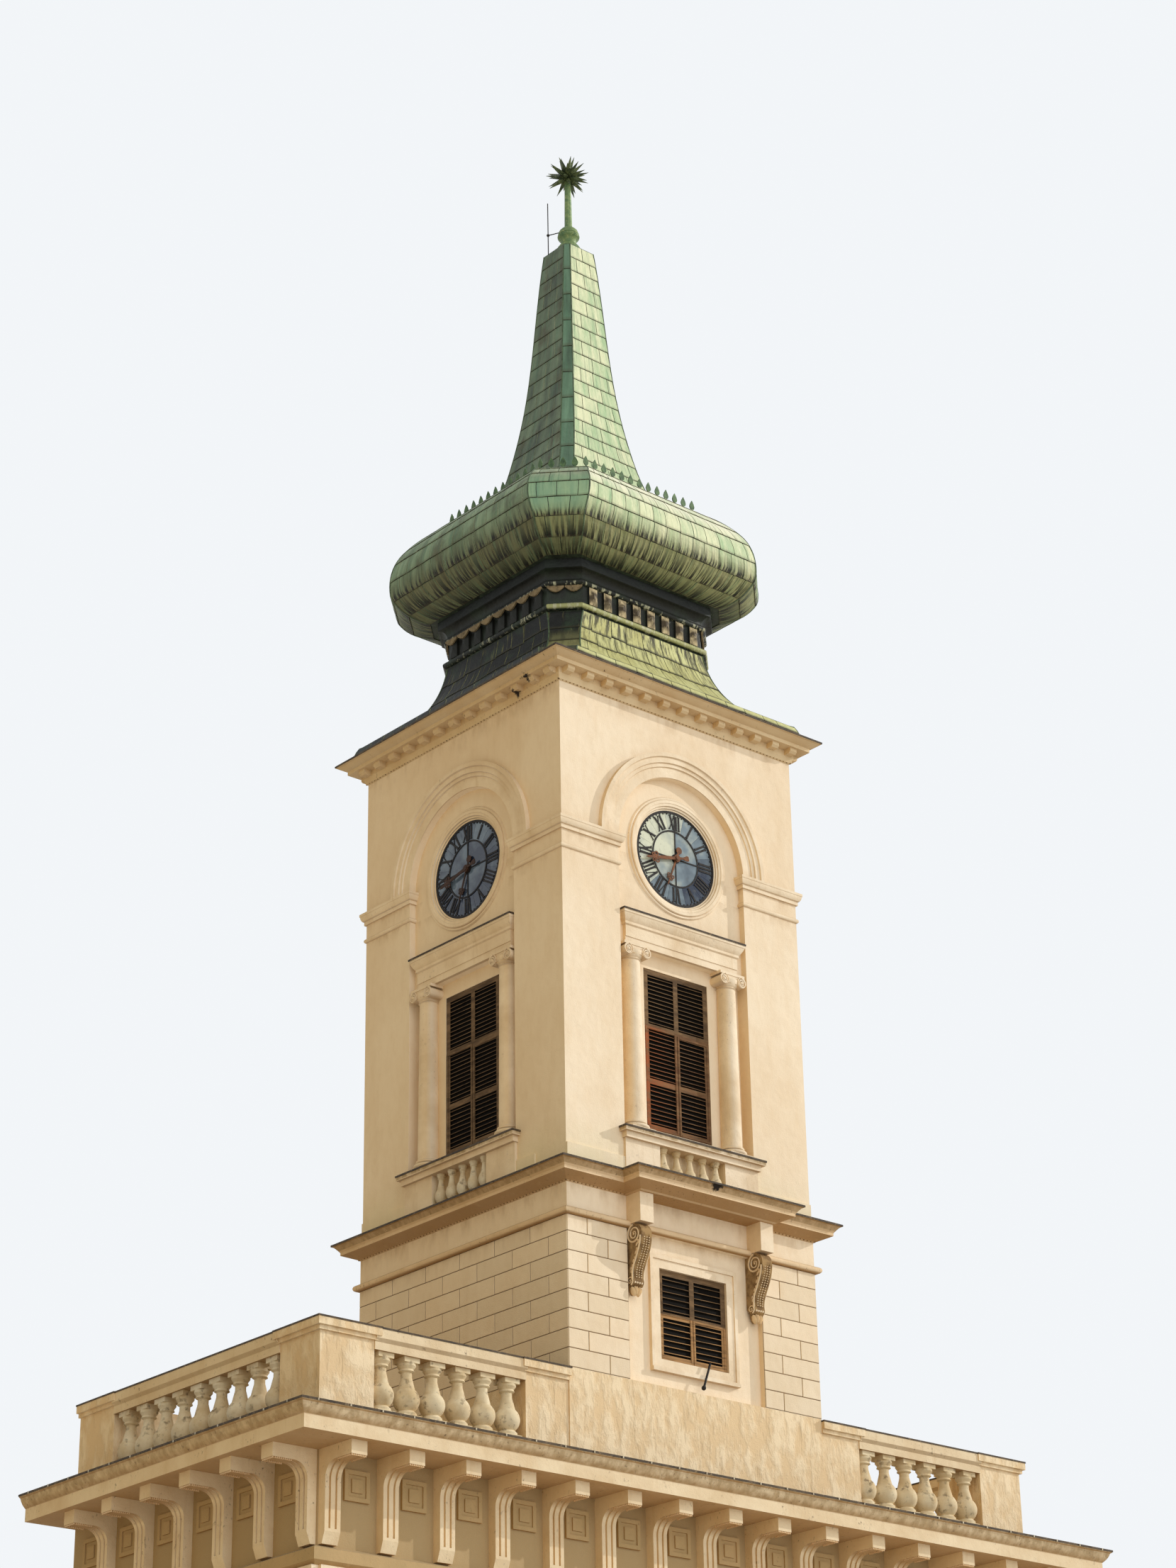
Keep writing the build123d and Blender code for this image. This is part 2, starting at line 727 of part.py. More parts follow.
# Clock stage
def upper_walls():
    low, high = mid_top_level, top_bed_level
    inner = tower_half - upper_wall
    wall = box(-tower_half, tower_half, -tower_half, -inner, low, high)
    wall += box(-tower_half, tower_half, -tower_half - base_step, -tower_half, low, low + base_step_height)
    arch = Pos(0, 0, impost_level) * Rot(90, 0, 0) * Cylinder(niche_half, far)
    opening = arch + box(-niche_half, niche_half, -far, far, sill_top - sill_height, impost_level)
    wall -= opening & box(-far, far, -far, -tower_half + tympanum_depth, 0, sky)
    wall -= opening & box(-far, far, -far, -tower_half + niche_depth, 0, architrave_level)
    wall -= box(-die_inner, die_inner, -far, -tower_half + blind_recess, low + blind_foot, sill_top)
    wall -= box(-belfry_half, belfry_half, -far, 0, belfry_sill, belfry_top)
    hole = Cylinder(dial_radius + frame_sleeve, 2 * upper_wall + 10)
    wall -= Pos(0, -tower_half, impost_level) * Rot(90, 0, 0) * hole
    wide = box(-tower_half, tower_half, -tower_half - base_step, 0, 0, sky)
    narrow = box(-inner, inner, -tower_half - base_step, 0, 0, sky)
    save("upper_wall_front", wall & wide)
    save("upper_wall_back", Rot(0, 0, 180) * (wall & wide))
    save("upper_side_walls", Rot(0, 0, -90) * (wall & narrow), Rot(0, 0, 90) * (wall & narrow))


def arch_trim():
    # moulded ring over each niche, three fasciae wide, from springing to springing
    r0, r1 = niche_half, archivolt_radius
    t = archivolt_step
    section = make_face(Polyline((r0, 0), (r1, 0), (r1, -t), (r1 - 70, -t), (r1 - 85, -t * 0.72),
                                 (r1 - 170, -t * 0.72), (r1 - 180, -t * 0.45), (r1 - 235, -t * 0.45),
                                 (r1 - 245, -t * 0.2), (r0, -t * 0.2), close=True))
    ring = revolve(Plane.XY * section, Axis.Y, 180)
    ring = Pos(0, -tower_half, impost_level) * ring
    if ring.bounding_box().min.Z < impost_level - 10:
        ring = Pos(0, 0, 2 * impost_level) * mirror(ring, about=Plane.XY)
    save("archivolts", around(ring))


def imposts():
    # mouldings that wrap each corner pier and turn into the niches
    pier = (tower_half - niche_half) / 2
    middle = niche_half + pier
    core = tower_half - tympanum_depth

    def wrapped(edges):
        ring = Pos(-middle, -middle, 0) * square_plan(edges)
        ring -= box(-tower_half, -niche_half, -tower_half, -niche_half, 0, sky)
        return ring - box(-core, far, -core, far, 0, sky)

    low = impost_level - impost_height
    impost = wrapped(steps(
        pier, (0, low), (30, low), (30, low + 60), (50, low + 70), (72, low + 110, "arc"),
        (impost_reach - 8, impost_level - 50), (impost_reach, impost_level - 40),
        (impost_reach, impost_level), (0, impost_level)))
    a = astragal_level
    mid = a + astragal_height / 2
    astragal = wrapped(steps(pier, (0, a), (10, a), (astragal_reach, mid, "arc"),
                             (10, a + astragal_height), (0, a + astragal_height)))
    save("pier_bands", around(impost), around(astragal))


def belfry_windows():
    face = tower_half
    sill_low = sill_top - sill_height
    back = -face + niche_depth
    sill = box(-sill_half, sill_half, -face - sill_reach, -face, sill_low + 90, sill_top)
    sill += box(-sill_half + 55, sill_half - 55, -face - sill_reach + 55, -face, sill_low, sill_low + 90)
    sill += box(-niche_half, niche_half, -face, back, sill_low, sill_top)
    low = mid_top_level + base_step
    for sign in (-1, 1):
        x0, x1 = sorted((sign * die_inner, sign * die_outer))
        sill += box(x0, x1, -face - die_reach, -face, low, sill_low)
    sill -= box(-far, far, -face, 0, 0, sill_low)
    sill -= box(-far, far, -face - base_step, 0, 0, mid_top_level + base_step_height)
    save("belfry_sills", around(sill))
    turned = baluster(low + blind_foot, sill_low, blind_baluster_belly)
    pitch = 2 * die_inner / blind_baluster_count
    balusters = [Pos((i - (blind_baluster_count - 1) / 2) * pitch, -face + blind_baluster_belly - 60, 0)
                 * turned for i in range(blind_baluster_count)]
    foot_line = low + blind_foot
    balusters = [b & box(-far, far, -far, far, foot_line, far) for b in balusters]
    save("belfry_balusters", [around(b) for b in balusters])
    save("belfry_shutters", around(shutter(belfry_half, belfry_sill, belfry_top,
                                           -face + niche_depth + shutter_setback,
                                           (mid_rail_share, transom_share))))
    save("entablatures", around(entablature()))
    columns = [Pos(sign * column_x, 0, 0) * ionic_column() for sign in (-1, 1)]
    save("ionic_columns", [around(c) for c in columns])


def entablature():
    face, half = entablature_face, entablature_half
    cornice_low = entablature_top - entablature_cornice
    back = -tower_half + tympanum_depth
    plain = box(-half, half, -face, back, architrave_level, cornice_low)
    plain -= box(-far, far, -far, -face + 12, architrave_level, architrave_level + 110)

    def moulding(h):
        return steps(h, (0, cornice_low), (22, cornice_low + 20), (22, cornice_low + 60),
                     (entablature_reach - 30, cornice_low + 130, "arc"),
                     (entablature_reach - 10, entablature_top - 70), (entablature_reach, entablature_top - 60),
                     (entablature_reach, entablature_top), (0, entablature_top))

    across = run(closed(moulding(half)), -far, back)
    along = Rot(0, 0, 90) * run(closed(moulding(face)), -far, far)
    top = across & along & box(-far, far, -far, back, 0, sky)
    return plain + top


def ionic_column():
    # engaged column: torus base on a plinth, tapering shaft, and a capital with scrolls
    back = -tower_half + niche_depth
    base_top = sill_top + column_base_height
    neck = architrave_level - capital_height
    plinth_top = sill_top + 60
    foot, head = column_foot_radius, column_neck_radius
    line = steps(0, (foot + 40, plinth_top), (foot + 70, plinth_top + 35, "arc"), (foot + 40, plinth_top + 70),
                 (foot + 12, plinth_top + 82), (foot + 30, plinth_top + 106, "arc"), (foot + 10, base_top),
                 (foot, base_top + 20), (head, neck - 40), (head + 18, neck - 25), (head, neck - 10),
                 (head, neck), (head + 40, neck + 60, "arc"), (head + 50, neck + 120))
    shaft = revolve(upright(make_face(
        [Line((0, plinth_top), line[0] @ 0)] + line
        + [Line(line[-1] @ 1, (0, neck + 120)), Line((0, neck + 120), (0, plinth_top))])), Axis.Z)
    column = Pos(0, -column_y, 0) * shaft
    column += box(-column_plinth, column_plinth, -column_y - column_plinth, back, sill_top, plinth_top)
    abacus_half = volute_spacing / 2 + volute_radius * 0.72
    column += box(-abacus_half, abacus_half, -volute_front + 15, back, architrave_level - 45,
                  architrave_level)
    column += box(-volute_spacing / 2, volute_spacing / 2, -volute_front + 25, back,
                  architrave_level - 45 - volute_radius * 0.75, architrave_level - 45)
    z = architrave_level - 45 - volute_radius * 0.92
    roll = Rot(90, 0, 0) * Cylinder(volute_radius * 0.86, volute_front + back - 20,
                                    align=(Align.CENTER, Align.CENTER, Align.MIN))
    for sign in (-1, 1):
        column += Pos(sign * volute_spacing / 2, back, z) * roll
        scroll = volute(volute_radius, volute_turns, 22)
        if sign > 0:
            scroll = mirror(scroll, about=Plane.YZ)
        column += Pos(sign * volute_spacing / 2, -volute_front + 21, z) * scroll
    return column & box(-far, far, -far, back, sill_top, architrave_level)


def volute(radius, turns, height):
    # a flat spiral band that narrows as it winds in to an eye, standing out towards -Y
    count = int(turns * 8)
    inner = radius * 0.22
    fall = (inner / radius) ** (1 / count)
    outer_points, inner_points = [], []
    for i in range(count + 1):
        ray = Vector(math.cos(math.radians(90 + 45 * i)), math.sin(math.radians(90 + 45 * i)))
        size = radius * fall ** i
        outer_points.append(ray * size)
        inner_points.append(ray * size * (fall ** 8 + 1) / 2 * 0.98)
    band = make_face([Spline(*outer_points), Line(outer_points[-1], inner_points[-1]),
                      Spline(*inner_points), Line(inner_points[0], outer_points[0])])
    return extrude(upright(band + Circle(inner)), amount=height, dir=(0, -1, 0))


# Dials: moulded frame, glass, iron rings and bars
def dials():
    frame_profile = make_face(Polyline(
        (dial_radius, -glass_front + frame_seat), (dial_radius, -glass_front - 12),
        (dial_radius + 22, -glass_front - 20), (dial_radius + 28, -frame_front + 42),
        (dial_radius + 55, -frame_front + 34), (dial_radius + 62, -frame_front + 14),
        (dial_radius + 100, -frame_front + 8), (dial_radius + 108, -frame_front),
        (frame_radius - 12, -frame_front), (frame_radius, -frame_front + 12),
        (frame_radius, -tower_half + tympanum_depth),
        (dial_radius + frame_sleeve, -tower_half + tympanum_depth),
        (dial_radius + frame_sleeve, -glass_front + frame_seat), close=True))
    frame = Pos(0, 0, impost_level) * revolve(frame_profile, Axis.Y)
    save("dial_frames", around(frame))
    bush_inner = pipe_radius + bush_gap
    glass = disc(dial_radius, glass_front - glass_thick, glass_front) - disc(bush_radius, 0, sky)
    save("dial_glass", around(glass))
    iron = disc(dial_radius, glass_front, glass_front + ring_thick)
    iron -= disc(dial_radius - minute_ring_width, 0, sky)
    hour_ring = disc(hour_ring_radius + hour_ring_width / 2, glass_front, glass_front + ring_thick)
    hour_ring -= disc(hour_ring_radius - hour_ring_width / 2, 0, sky)
    iron += hour_ring
    reach = dial_radius - minute_ring_width / 2
    for angle in (0, 90):
        bar = box(-reach, reach, -glass_front - ring_thick, -glass_front, -bar_width / 2, bar_width / 2)
        iron += Pos(0, 0, impost_level) * Rot(0, angle, 0) * bar
    iron += disc(bush_radius, glass_front - glass_thick - 30, glass_front + ring_thick)
    iron -= disc(bush_inner, 0, sky)
    save("dial_ironwork", around(iron))


def disc(radius, near, reach):
    # a round plate on the dial's axis, from near to reach in front of the tower's axis
    return Pos(0, -near, impost_level) * Rot(90, 0, 0) * Cylinder(
        radius, reach - near, align=(Align.CENTER, Align.CENTER, Align.MIN))


def hand(length, tail, width, blade, near, angle, tail_disc):
    # a narrow blade with a cross of scrolls under its tip, and a tail, seen from the front
    w, b = width, blade / 2
    outline = make_face(Polyline(
        (-b * 0.8, 0), (-b, length * 0.4), (-b * 0.7, length * 0.68), (-b * 0.6, length * 0.92), (0, length),
        (b * 0.6, length * 0.92), (b * 0.7, length * 0.68), (b, length * 0.4), (b * 0.8, 0), close=True))
    if tail_disc:
        outline += make_face(Polyline((-b, 0), (-b, -tail), (b, -tail), (b, 0), close=True))
        outline += Pos(0, -tail) * Circle(tail_disc)
    else:
        outline += make_face(Polyline(
            (-b * 0.8, 0), (-b * 0.55, -tail * 0.5), (-b * 1.6, -tail * 0.85), (-b * 1.3, -tail),
            (b * 1.3, -tail), (b * 1.6, -tail * 0.85), (b * 0.55, -tail * 0.5), (b * 0.8, 0), close=True))
    outline += Circle(hub_radius)
    for x in (-w * 0.34, w * 0.34):
        outline += Pos(x, length * 0.65) * (Circle(w * 0.26) - Circle(w * 0.13))
        outline += Pos(x * 0.8, length * 0.65 + w * 0.4) * (Circle(w * 0.2) - Circle(w * 0.09))
    outline += Pos(0, length * 0.65) * Rectangle(w * 0.5, w * 0.12)
    outline += Pos(0, length * 0.65 + w * 0.4) * Rectangle(w * 0.4, w * 0.1)
    plate = Pos(0, -near, 0) * extrude(upright(outline), amount=hand_thick, dir=(0, -1, 0))
    return Pos(0, 0, impost_level) * Rot(0, angle, 0) * plate


def hands():
    minute_angle = 6 * time_minutes
    hour_angle = 30 * (time_hours + time_minutes / 60)
    hour_near = glass_front + ring_thick + hand_gap
    minute_near = hour_near + hand_thick + hand_gap
    pipe_back = glass_front - glass_thick - 30
    hour_hand = hand(hour_length, hour_tail, hour_width, hour_blade, hour_near, hour_angle, hour_disc)
    hour_hand += disc(pipe_radius, pipe_back, hour_near + hand_thick)
    hour_hand -= disc(arbor_radius + arbor_gap, 0, sky)
    minute_hand = hand(minute_length, minute_tail, minute_width, minute_blade, minute_near,
                       minute_angle, 0)
    minute_hand += disc(arbor_radius, pipe_back, minute_near + hand_thick)
    minute_hand += disc(arbor_radius * 1.3, minute_near + hand_thick, minute_near + 2 * hand_thick)
    for name, angle in zip(("front", "left", "back", "right"), sides):
        save(f"hour_hand_{name}", Rot(0, 0, angle) * hour_hand)
        save(f"minute_hand_{name}", Rot(0, 0, angle) * minute_hand)


# Top cornice with modillions
def top_cornice():
    bed = top_bed_level
    ring = square_plan(steps(
        tower_half, (0, bed), (30, bed + 20), (60, bed + 110), (60, top_soffit),
        (top_reach - 145, top_soffit), (top_reach - 145, top_soffit + 65),
        (top_reach - 90, top_soffit + 95, "arc"), (top_reach - 30, top_level - 30),
        (top_reach, top_level - 28), (top_reach, top_level)))
    hollow = tower_half - upper_wall + floor_bearing
    save("top_cornice", ring - box(-hollow, hollow, -hollow, hollow, 0, sky))
    y = tower_half + 60
    block = box(-modillion_width / 2, modillion_width / 2, -y - modillion_depth, -y,
                top_soffit - modillion_height, top_soffit)
    block -= Pos(0, -y - modillion_depth, top_soffit - modillion_height) * Rot(45, 0, 0) * Box(
        far, 50, 50)
    middle = (modillion_count - 1) / 2
    pitch = (tower_half - modillion_inset) / middle
    blocks = [Pos((i - middle) * pitch, 0, 0) * block for i in range(modillion_count)]
    save("top_modillions", [around(b) for b in blocks])


# Roof
def diagonal_of(half, cut):
    return math.sqrt(2) * half - cut


def skirt():
    def edges(shift, shape):
        # a hollow quarter round that lands on the cornice
        centre = skirt_neck_half + skirt_radius
        low = skirt_top - math.sqrt(skirt_radius ** 2 - (centre - skirt_foot_half + skirt_kick) ** 2)
        mid_angle = math.radians(225)
        middle = (centre + skirt_radius * math.cos(mid_angle), skirt_top + skirt_radius * math.sin(mid_angle))
        foot = (skirt_foot_half, top_level)
        return [Line((shape(foot[0]) - shift, foot[1]), (shape(skirt_foot_half - skirt_kick) - shift, low)),
                ThreePointArc((shape(skirt_foot_half - skirt_kick) - shift, low),
                              (shape(middle[0]) - shift, middle[1]),
                              (shape(skirt_neck_half) - shift, skirt_top))]

    def flat(half):
        return half

    def cut(half):
        return diagonal_of(half, corner_cut)

    outer = chamfered_plan(edges(0, flat), edges(0, cut))
    inner = chamfered_plan(edges(roof_thick, flat), edges(roof_thick, cut))
    save("skirt_roof", outer - inner)


def neck():
    def edges(shape):
        half, r = neck_half, neck_roll
        upper = neck_upper_roll_level
        fascia = neck_top - neck_fascia_height
        lower = skirt_top
        reach = neck_fascia_half
        points = [(half - 20, lower), (half + 20, lower + 10), (half + 20 + r, lower + 10 + r, "arc"),
                  (half + 20, lower + 10 + 2 * r), (half, lower + 20 + 2 * r), (half, upper - r - 10),
                  (half + 10, upper - r), (half + 10 + r, upper, "arc"), (half + 10, upper + r),
                  (half + 20, upper + r + 10), (half + 40, upper + 150, "arc"), (reach - 20, fascia - 10),
                  (reach, fascia), (reach, neck_top)]
        return steps(0, *[(shape(p[0]), *p[1:]) for p in points])

    outer = chamfered_plan(edges(lambda h: h), edges(lambda h: diagonal_of(h, corner_cut)))
    hollow = neck_half - roof_thick
    shaft = chamfered_plan([Line((hollow, 0), (hollow, sky))],
                           [Line((diagonal_of(hollow, corner_cut), 0),
                                 (diagonal_of(hollow, corner_cut), sky))])
    save("neck", outer - shaft)
    low = skirt_top + 20 + 2 * neck_roll
    high = neck_upper_roll_level - neck_roll - 10
    middle = (low + high) / 2
    block = neck_block(high - low)
    blocks = []
    for i in range(neck_block_count):
        x = (i - (neck_block_count - 1) / 2) * neck_block_pitch
        blocks += around(Pos(x, -neck_half, middle) * block)
    save("neck_blocks", blocks)


def neck_block(height):
    # a square block with a raised point, its foot on the neck
    half = neck_block_width / 2
    base = Pos(0, -neck_block_reach / 4, 0) * Box(2 * half, neck_block_reach / 2, height)
    tip = loft([
        Plane((0, -neck_block_reach / 2, 0), x_dir=(1, 0, 0), z_dir=(0, -1, 0))
        * Rectangle(2 * half, height),
        Plane((0, -neck_block_reach, 0), x_dir=(1, 0, 0), z_dir=(0, -1, 0))
        * Rectangle(half * 0.5, height * 0.25),
    ])
    return base + tip


def bulb_edges(shift, cut, top_shift=0):
    # round belly that starts under the fascia and rises to the cresting
    below = neck_top
    height = bulb_top - neck_top
    under = (neck_fascia_half, below)
    turn = (bulb_half - 60, below + 0.245 * height)
    widest = (bulb_half, below + 0.43 * height)
    shoulder = (bulb_half - 205, below + 0.73 * height)
    crest = (bulb_crest_half, bulb_top)

    def at(point, corner=0):
        half = point[0] - shift
        return (diagonal_of(half, cut + corner) if cut is not None else half, point[1])

    return [ThreePointArc(at(under), at((bulb_half - 290, below + 0.09 * height), bulb_low_cut / 2),
                          at(turn, bulb_low_cut)),
            ThreePointArc(at(turn, bulb_low_cut), at(widest, bulb_wide_cut),
                          at(shoulder, bulb_shoulder_cut)),
            ThreePointArc(at(shoulder, bulb_shoulder_cut),
                          at((bulb_half - 430, below + 0.87 * height), bulb_shoulder_cut - 30),
                          at(crest, crest_cut))]


def bulb():
    outer = chamfered_plan(bulb_edges(0, None), bulb_edges(0, corner_cut))
    inner = chamfered_plan(bulb_edges(roof_thick, None), bulb_edges(roof_thick, corner_cut))
    deck = spire_foot_half - roof_thick
    cover = box(-far, far, -far, far, bulb_top - roof_thick, bulb_top)
    shaft = neck_half - roof_thick
    floor = box(-far, far, -far, far, neck_top, neck_top + roof_thick)
    inner = inner - (cover - box(-deck, deck, -deck, deck, 0, sky))
    inner = inner - (floor - box(-shaft, shaft, -shaft, shaft, 0, sky))
    save("bulb_roof", outer - inner)


def spire():
    # each point of the spire's hollow curve: half width, and its share of the height
    curve = ((spire_foot_half, 0), (1075, 0.075), (840, 0.22), (655, 0.416), (490, 0.722),
             (spire_top_half, 1))

    def edges(shift, shape):
        points = []
        for half, share in curve:
            points.append((shape(half, share) - shift, bulb_top + share * spire_height))
        return [Spline(*points)]

    def plain(half, share):
        return half

    def cut(half, share):
        return diagonal_of(half, spire_foot_cut + (spire_top_cut - spire_foot_cut) * share)

    outer = chamfered_plan(edges(0, plain), edges(0, cut))
    inner = chamfered_plan(edges(roof_thick, plain), edges(roof_thick, cut))
    inner &= box(-far, far, -far, far, 0, spire_top - roof_thick)
    save("spire_roof", outer - inner)


def cresting():
    # a low curb with a row of small pointed leaves on stems
    half = bulb_crest_half - 40
    cut = corner_cut + crest_cut

    def ring(h):
        high = bulb_top + leaf_curb
        return chamfered_plan([Line((h, bulb_top), (h, high))],
                              [Line((diagonal_of(h, cut), bulb_top), (diagonal_of(h, cut), high))])

    crest = ring(half) - ring(half - 60)
    w, h = leaf_width / 2, leaf_height
    right_edge = ((14, 0), (10, h * 0.22), (w * 0.8, h * 0.34), (w, h * 0.5), (w * 0.7, h * 0.72), (0, h))
    left_edge = [(-x, z) for x, z in right_edge[-2::-1]]
    leaf = run(make_face(Polyline(*right_edge, *left_edge, close=True)), 0, leaf_thick)
    z = bulb_top + leaf_curb - 5
    count = int(2 * (half - math.sqrt(2) * cut) / leaf_pitch) + 1
    leaves = []
    for i in range(count):
        x = (i - (count - 1) / 2) * leaf_pitch
        leaves += around(Pos(x, -half + 20, z) * leaf)
    diagonal = diagonal_of(half, cut)
    for x in (-leaf_pitch, 0, leaf_pitch):
        leaves += around(Pos(x, -diagonal + 20, z) * leaf, (45, 135, 225, 315))
    save("crest_leaves", crest + leaves)


# Finial: knob, pole, star and lightning rod
def finial():
    low = spire_top
    r = knob_radius
    line = steps(
        0, (cap_radius, low), (r, low + 190), (r * 0.89, low + 200), (r * 0.89, low + 222),
        (r * 0.66, low + 275), (r * 0.75, low + 345, "arc"), (r * 0.95, low + 398),
        (r * 0.95, low + 410), (r, low + 430, "arc"), (r * 0.94, low + 450), (r * 0.9, low + 455),
        (r * 0.96, low + 475, "arc"), (r * 0.9, low + 495), (r * 0.86, low + 540),
        (r * 0.6, low + 600, "arc"), (pole_radius, low + 640), (pole_radius, knob_top))
    knob = revolve(upright(make_face([Line((0, low), line[0] @ 0)] + line + [
        Line(line[-1] @ 1, (0, knob_top)), Line((0, knob_top), (0, low))])), Axis.Z)
    pole = loft([Pos(0, 0, knob_top) * RegularPolygon(pole_radius, 8),
                 Pos(0, 0, star_centre) * RegularPolygon(pole_neck_radius, 8)])
    star = Pos(0, 0, star_centre) * Sphere(star_core)
    spike = loft([Pos(0, 0, star_core * 0.8) * RegularPolygon(spike_radius, 4),
                  Pos(0, 0, star_reach) * RegularPolygon(3, 4)])
    # spikes spread evenly over the ball by the golden angle, but for the pole's foot
    for i in range(star_spikes):
        height = 1 - 2 * (i + 0.5) / star_spikes
        if height < -0.88:
            continue
        tilt = math.degrees(math.acos(height))
        star += Pos(0, 0, star_centre) * Rot(0, 0, i * 137.508) * Rot(0, tilt, 0) * spike
    save("star_ball", star)
    save("finial_pole", (knob + pole) - star)
    rod = Pos(rod_x, rod_y, spire_top) * Cylinder(rod_radius, rod_height,
                                                  align=(Align.CENTER, Align.CENTER, Align.MIN))
    rod += Pos(rod_x, rod_y, spire_top + insulator_rise) * Sphere(insulator_radius)
    arm = Line((rod_x, rod_y, spire_top + insulator_rise), (0, 0, spire_top + arm_rise))
    arm = sweep(Plane(arm @ 0, z_dir=arm % 0) * Circle(rod_radius), path=arm)
    save("lightning_rod", (rod + arm) - knob)


os.makedirs("parts", exist_ok=True)
block_walls()
plinth_and_pilasters()
main_cornice()
parapet()
entrance()
lower_stage()
middle_cornice()
upper_walls()
arch_trim()
imposts()
belfry_windows()
dials()
hands()
top_cornice()
skirt()
neck()
bulb()
spire()
cresting()
finial()
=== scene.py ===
import math
import random
import bmesh
import bpy
from mathutils import Matrix, Vector
from mathutils.bvhtree import BVHTree


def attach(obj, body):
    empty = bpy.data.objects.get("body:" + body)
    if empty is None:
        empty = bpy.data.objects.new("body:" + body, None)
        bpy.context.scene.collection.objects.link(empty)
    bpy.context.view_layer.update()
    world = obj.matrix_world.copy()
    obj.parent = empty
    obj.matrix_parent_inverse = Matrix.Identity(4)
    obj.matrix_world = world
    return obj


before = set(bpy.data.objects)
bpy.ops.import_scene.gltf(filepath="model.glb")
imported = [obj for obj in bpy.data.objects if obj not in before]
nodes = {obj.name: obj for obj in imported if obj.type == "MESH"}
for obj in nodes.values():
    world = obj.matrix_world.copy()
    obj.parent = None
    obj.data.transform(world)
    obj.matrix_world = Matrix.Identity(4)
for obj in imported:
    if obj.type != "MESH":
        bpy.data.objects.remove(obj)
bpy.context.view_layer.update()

sideTurns = {"front": 0.0, "right": 90.0, "back": 180.0, "left": -90.0}
print("frame loaded:", len(nodes), "CAD pieces")


def tone(red, green, blue):
    # a colour as seen, 0 to 255, in the linear values that Blender wants
    values = [v / 255 for v in (red, green, blue)]
    return tuple(((v + 0.055) / 1.055) ** 2.4 for v in values) + (1.0,)


def turned(degrees, axis="Z"):
    return Matrix.Rotation(math.radians(degrees), 4, axis)


def intoScene(name, data):
    made = bpy.data.objects.new(name, data)
    bpy.context.scene.collection.objects.link(made)
    return made


def plainMesh(name, points, faces):
    mesh = bpy.data.meshes.new(name)
    mesh.from_pydata(points, [], faces)
    return mesh


# Nodes. A Field is an output of a node that can be added, multiplied and compared
class Field:
    def __init__(self, socket):
        self.socket = socket

    def reckon(self, operation, other=0.0, turnedRound=False):
        inputs = {0: other, 1: self} if turnedRound else {0: self, 1: other}
        made = addNode(self.socket.id_data, "ShaderNodeMath", inputs, operation=operation)
        return Field(made.outputs[0])

    def __add__(self, other):
        return self.reckon("ADD", other)

    def __sub__(self, other):
        return self.reckon("SUBTRACT", other)

    def __rsub__(self, other):
        return self.reckon("SUBTRACT", other, True)

    def __mul__(self, other):
        return self.reckon("MULTIPLY", other)

    def __lt__(self, other):
        return self.reckon("LESS_THAN", other)

    def __gt__(self, other):
        return self.reckon("GREATER_THAN", other)

    def larger(self, other):
        return self.reckon("MAXIMUM", other)

    def between(self, low, high, bottom=0.0, top=1.0):
        # bottom where the value is low, top where it is high
        made = addNode(self.socket.id_data, "ShaderNodeMapRange",
                       {0: self, 1: low, 2: high, 3: bottom, 4: top}, clamp=True)
        return Field(made.outputs[0])

    def band(self, start, full, fall, end):
        return self.between(start, full) * self.between(end, fall)


def addNode(tree, kind, inputs, **settings):
    made = tree.nodes.new(kind)
    for key, value in settings.items():
        setattr(made, key, value)
    for key, value in inputs.items():
        if isinstance(value, Field):
            value = value.socket
        if isinstance(value, bpy.types.NodeSocket):
            tree.links.new(value, made.inputs[key])
        else:
            made.inputs[key].default_value = value
    return made


# Camera where the picture was taken from, light from the right, pale floor
view = {"place": (-32.82, -38.175, 1.6), "yaw": 40.88, "pitch": 25.23, "roll": -1.06,
        "lens": 76.31, "sensorHeight": 36.0, "reach": 500.0}


def setCamera():
    yaw, pitch, roll = (math.radians(view[key]) for key in ("yaw", "pitch", "roll"))
    level = math.cos(pitch)
    ahead = Vector((math.sin(yaw) * level, math.cos(yaw) * level, math.sin(pitch)))
    right = Vector((math.cos(yaw), -math.sin(yaw), 0.0))
    up = right.cross(ahead)
    across = math.cos(roll) * right + math.sin(roll) * up
    upright = -math.sin(roll) * right + math.cos(roll) * up
    lens = bpy.data.cameras.new("streetView")
    lens.sensor_fit = "VERTICAL"
    lens.sensor_height = view["sensorHeight"]
    lens.lens = view["lens"]
    lens.clip_end = view["reach"]
    camera = intoScene("streetView", lens)
    camera.matrix_world = Matrix.Translation(view["place"]) @ Matrix(
        (across, upright, -ahead)).transposed().to_4x4()
    bpy.context.scene.camera = camera


lightSettings = {
    "lamps": {
        "keyLight": {"comesFrom": (0.87, -0.38, 0.44), "strength": 1.8, "spread": 0.6,
                     "tone": (1.0, 0.97, 0.92)},
        "softLight": {"comesFrom": (-0.08, -0.93, 0.3), "strength": 0.86, "spread": 60.0,
                      "tone": (1.0, 0.99, 0.97)}},
    "sky": 0.45, "skyTone": (1.0, 0.95, 0.84, 1.0), "backdrop": (0.89, 0.915, 0.94, 1.0),
    "floor": tone(228, 224, 216), "floorRoughness": 0.9, "floorReach": 160.0,
}


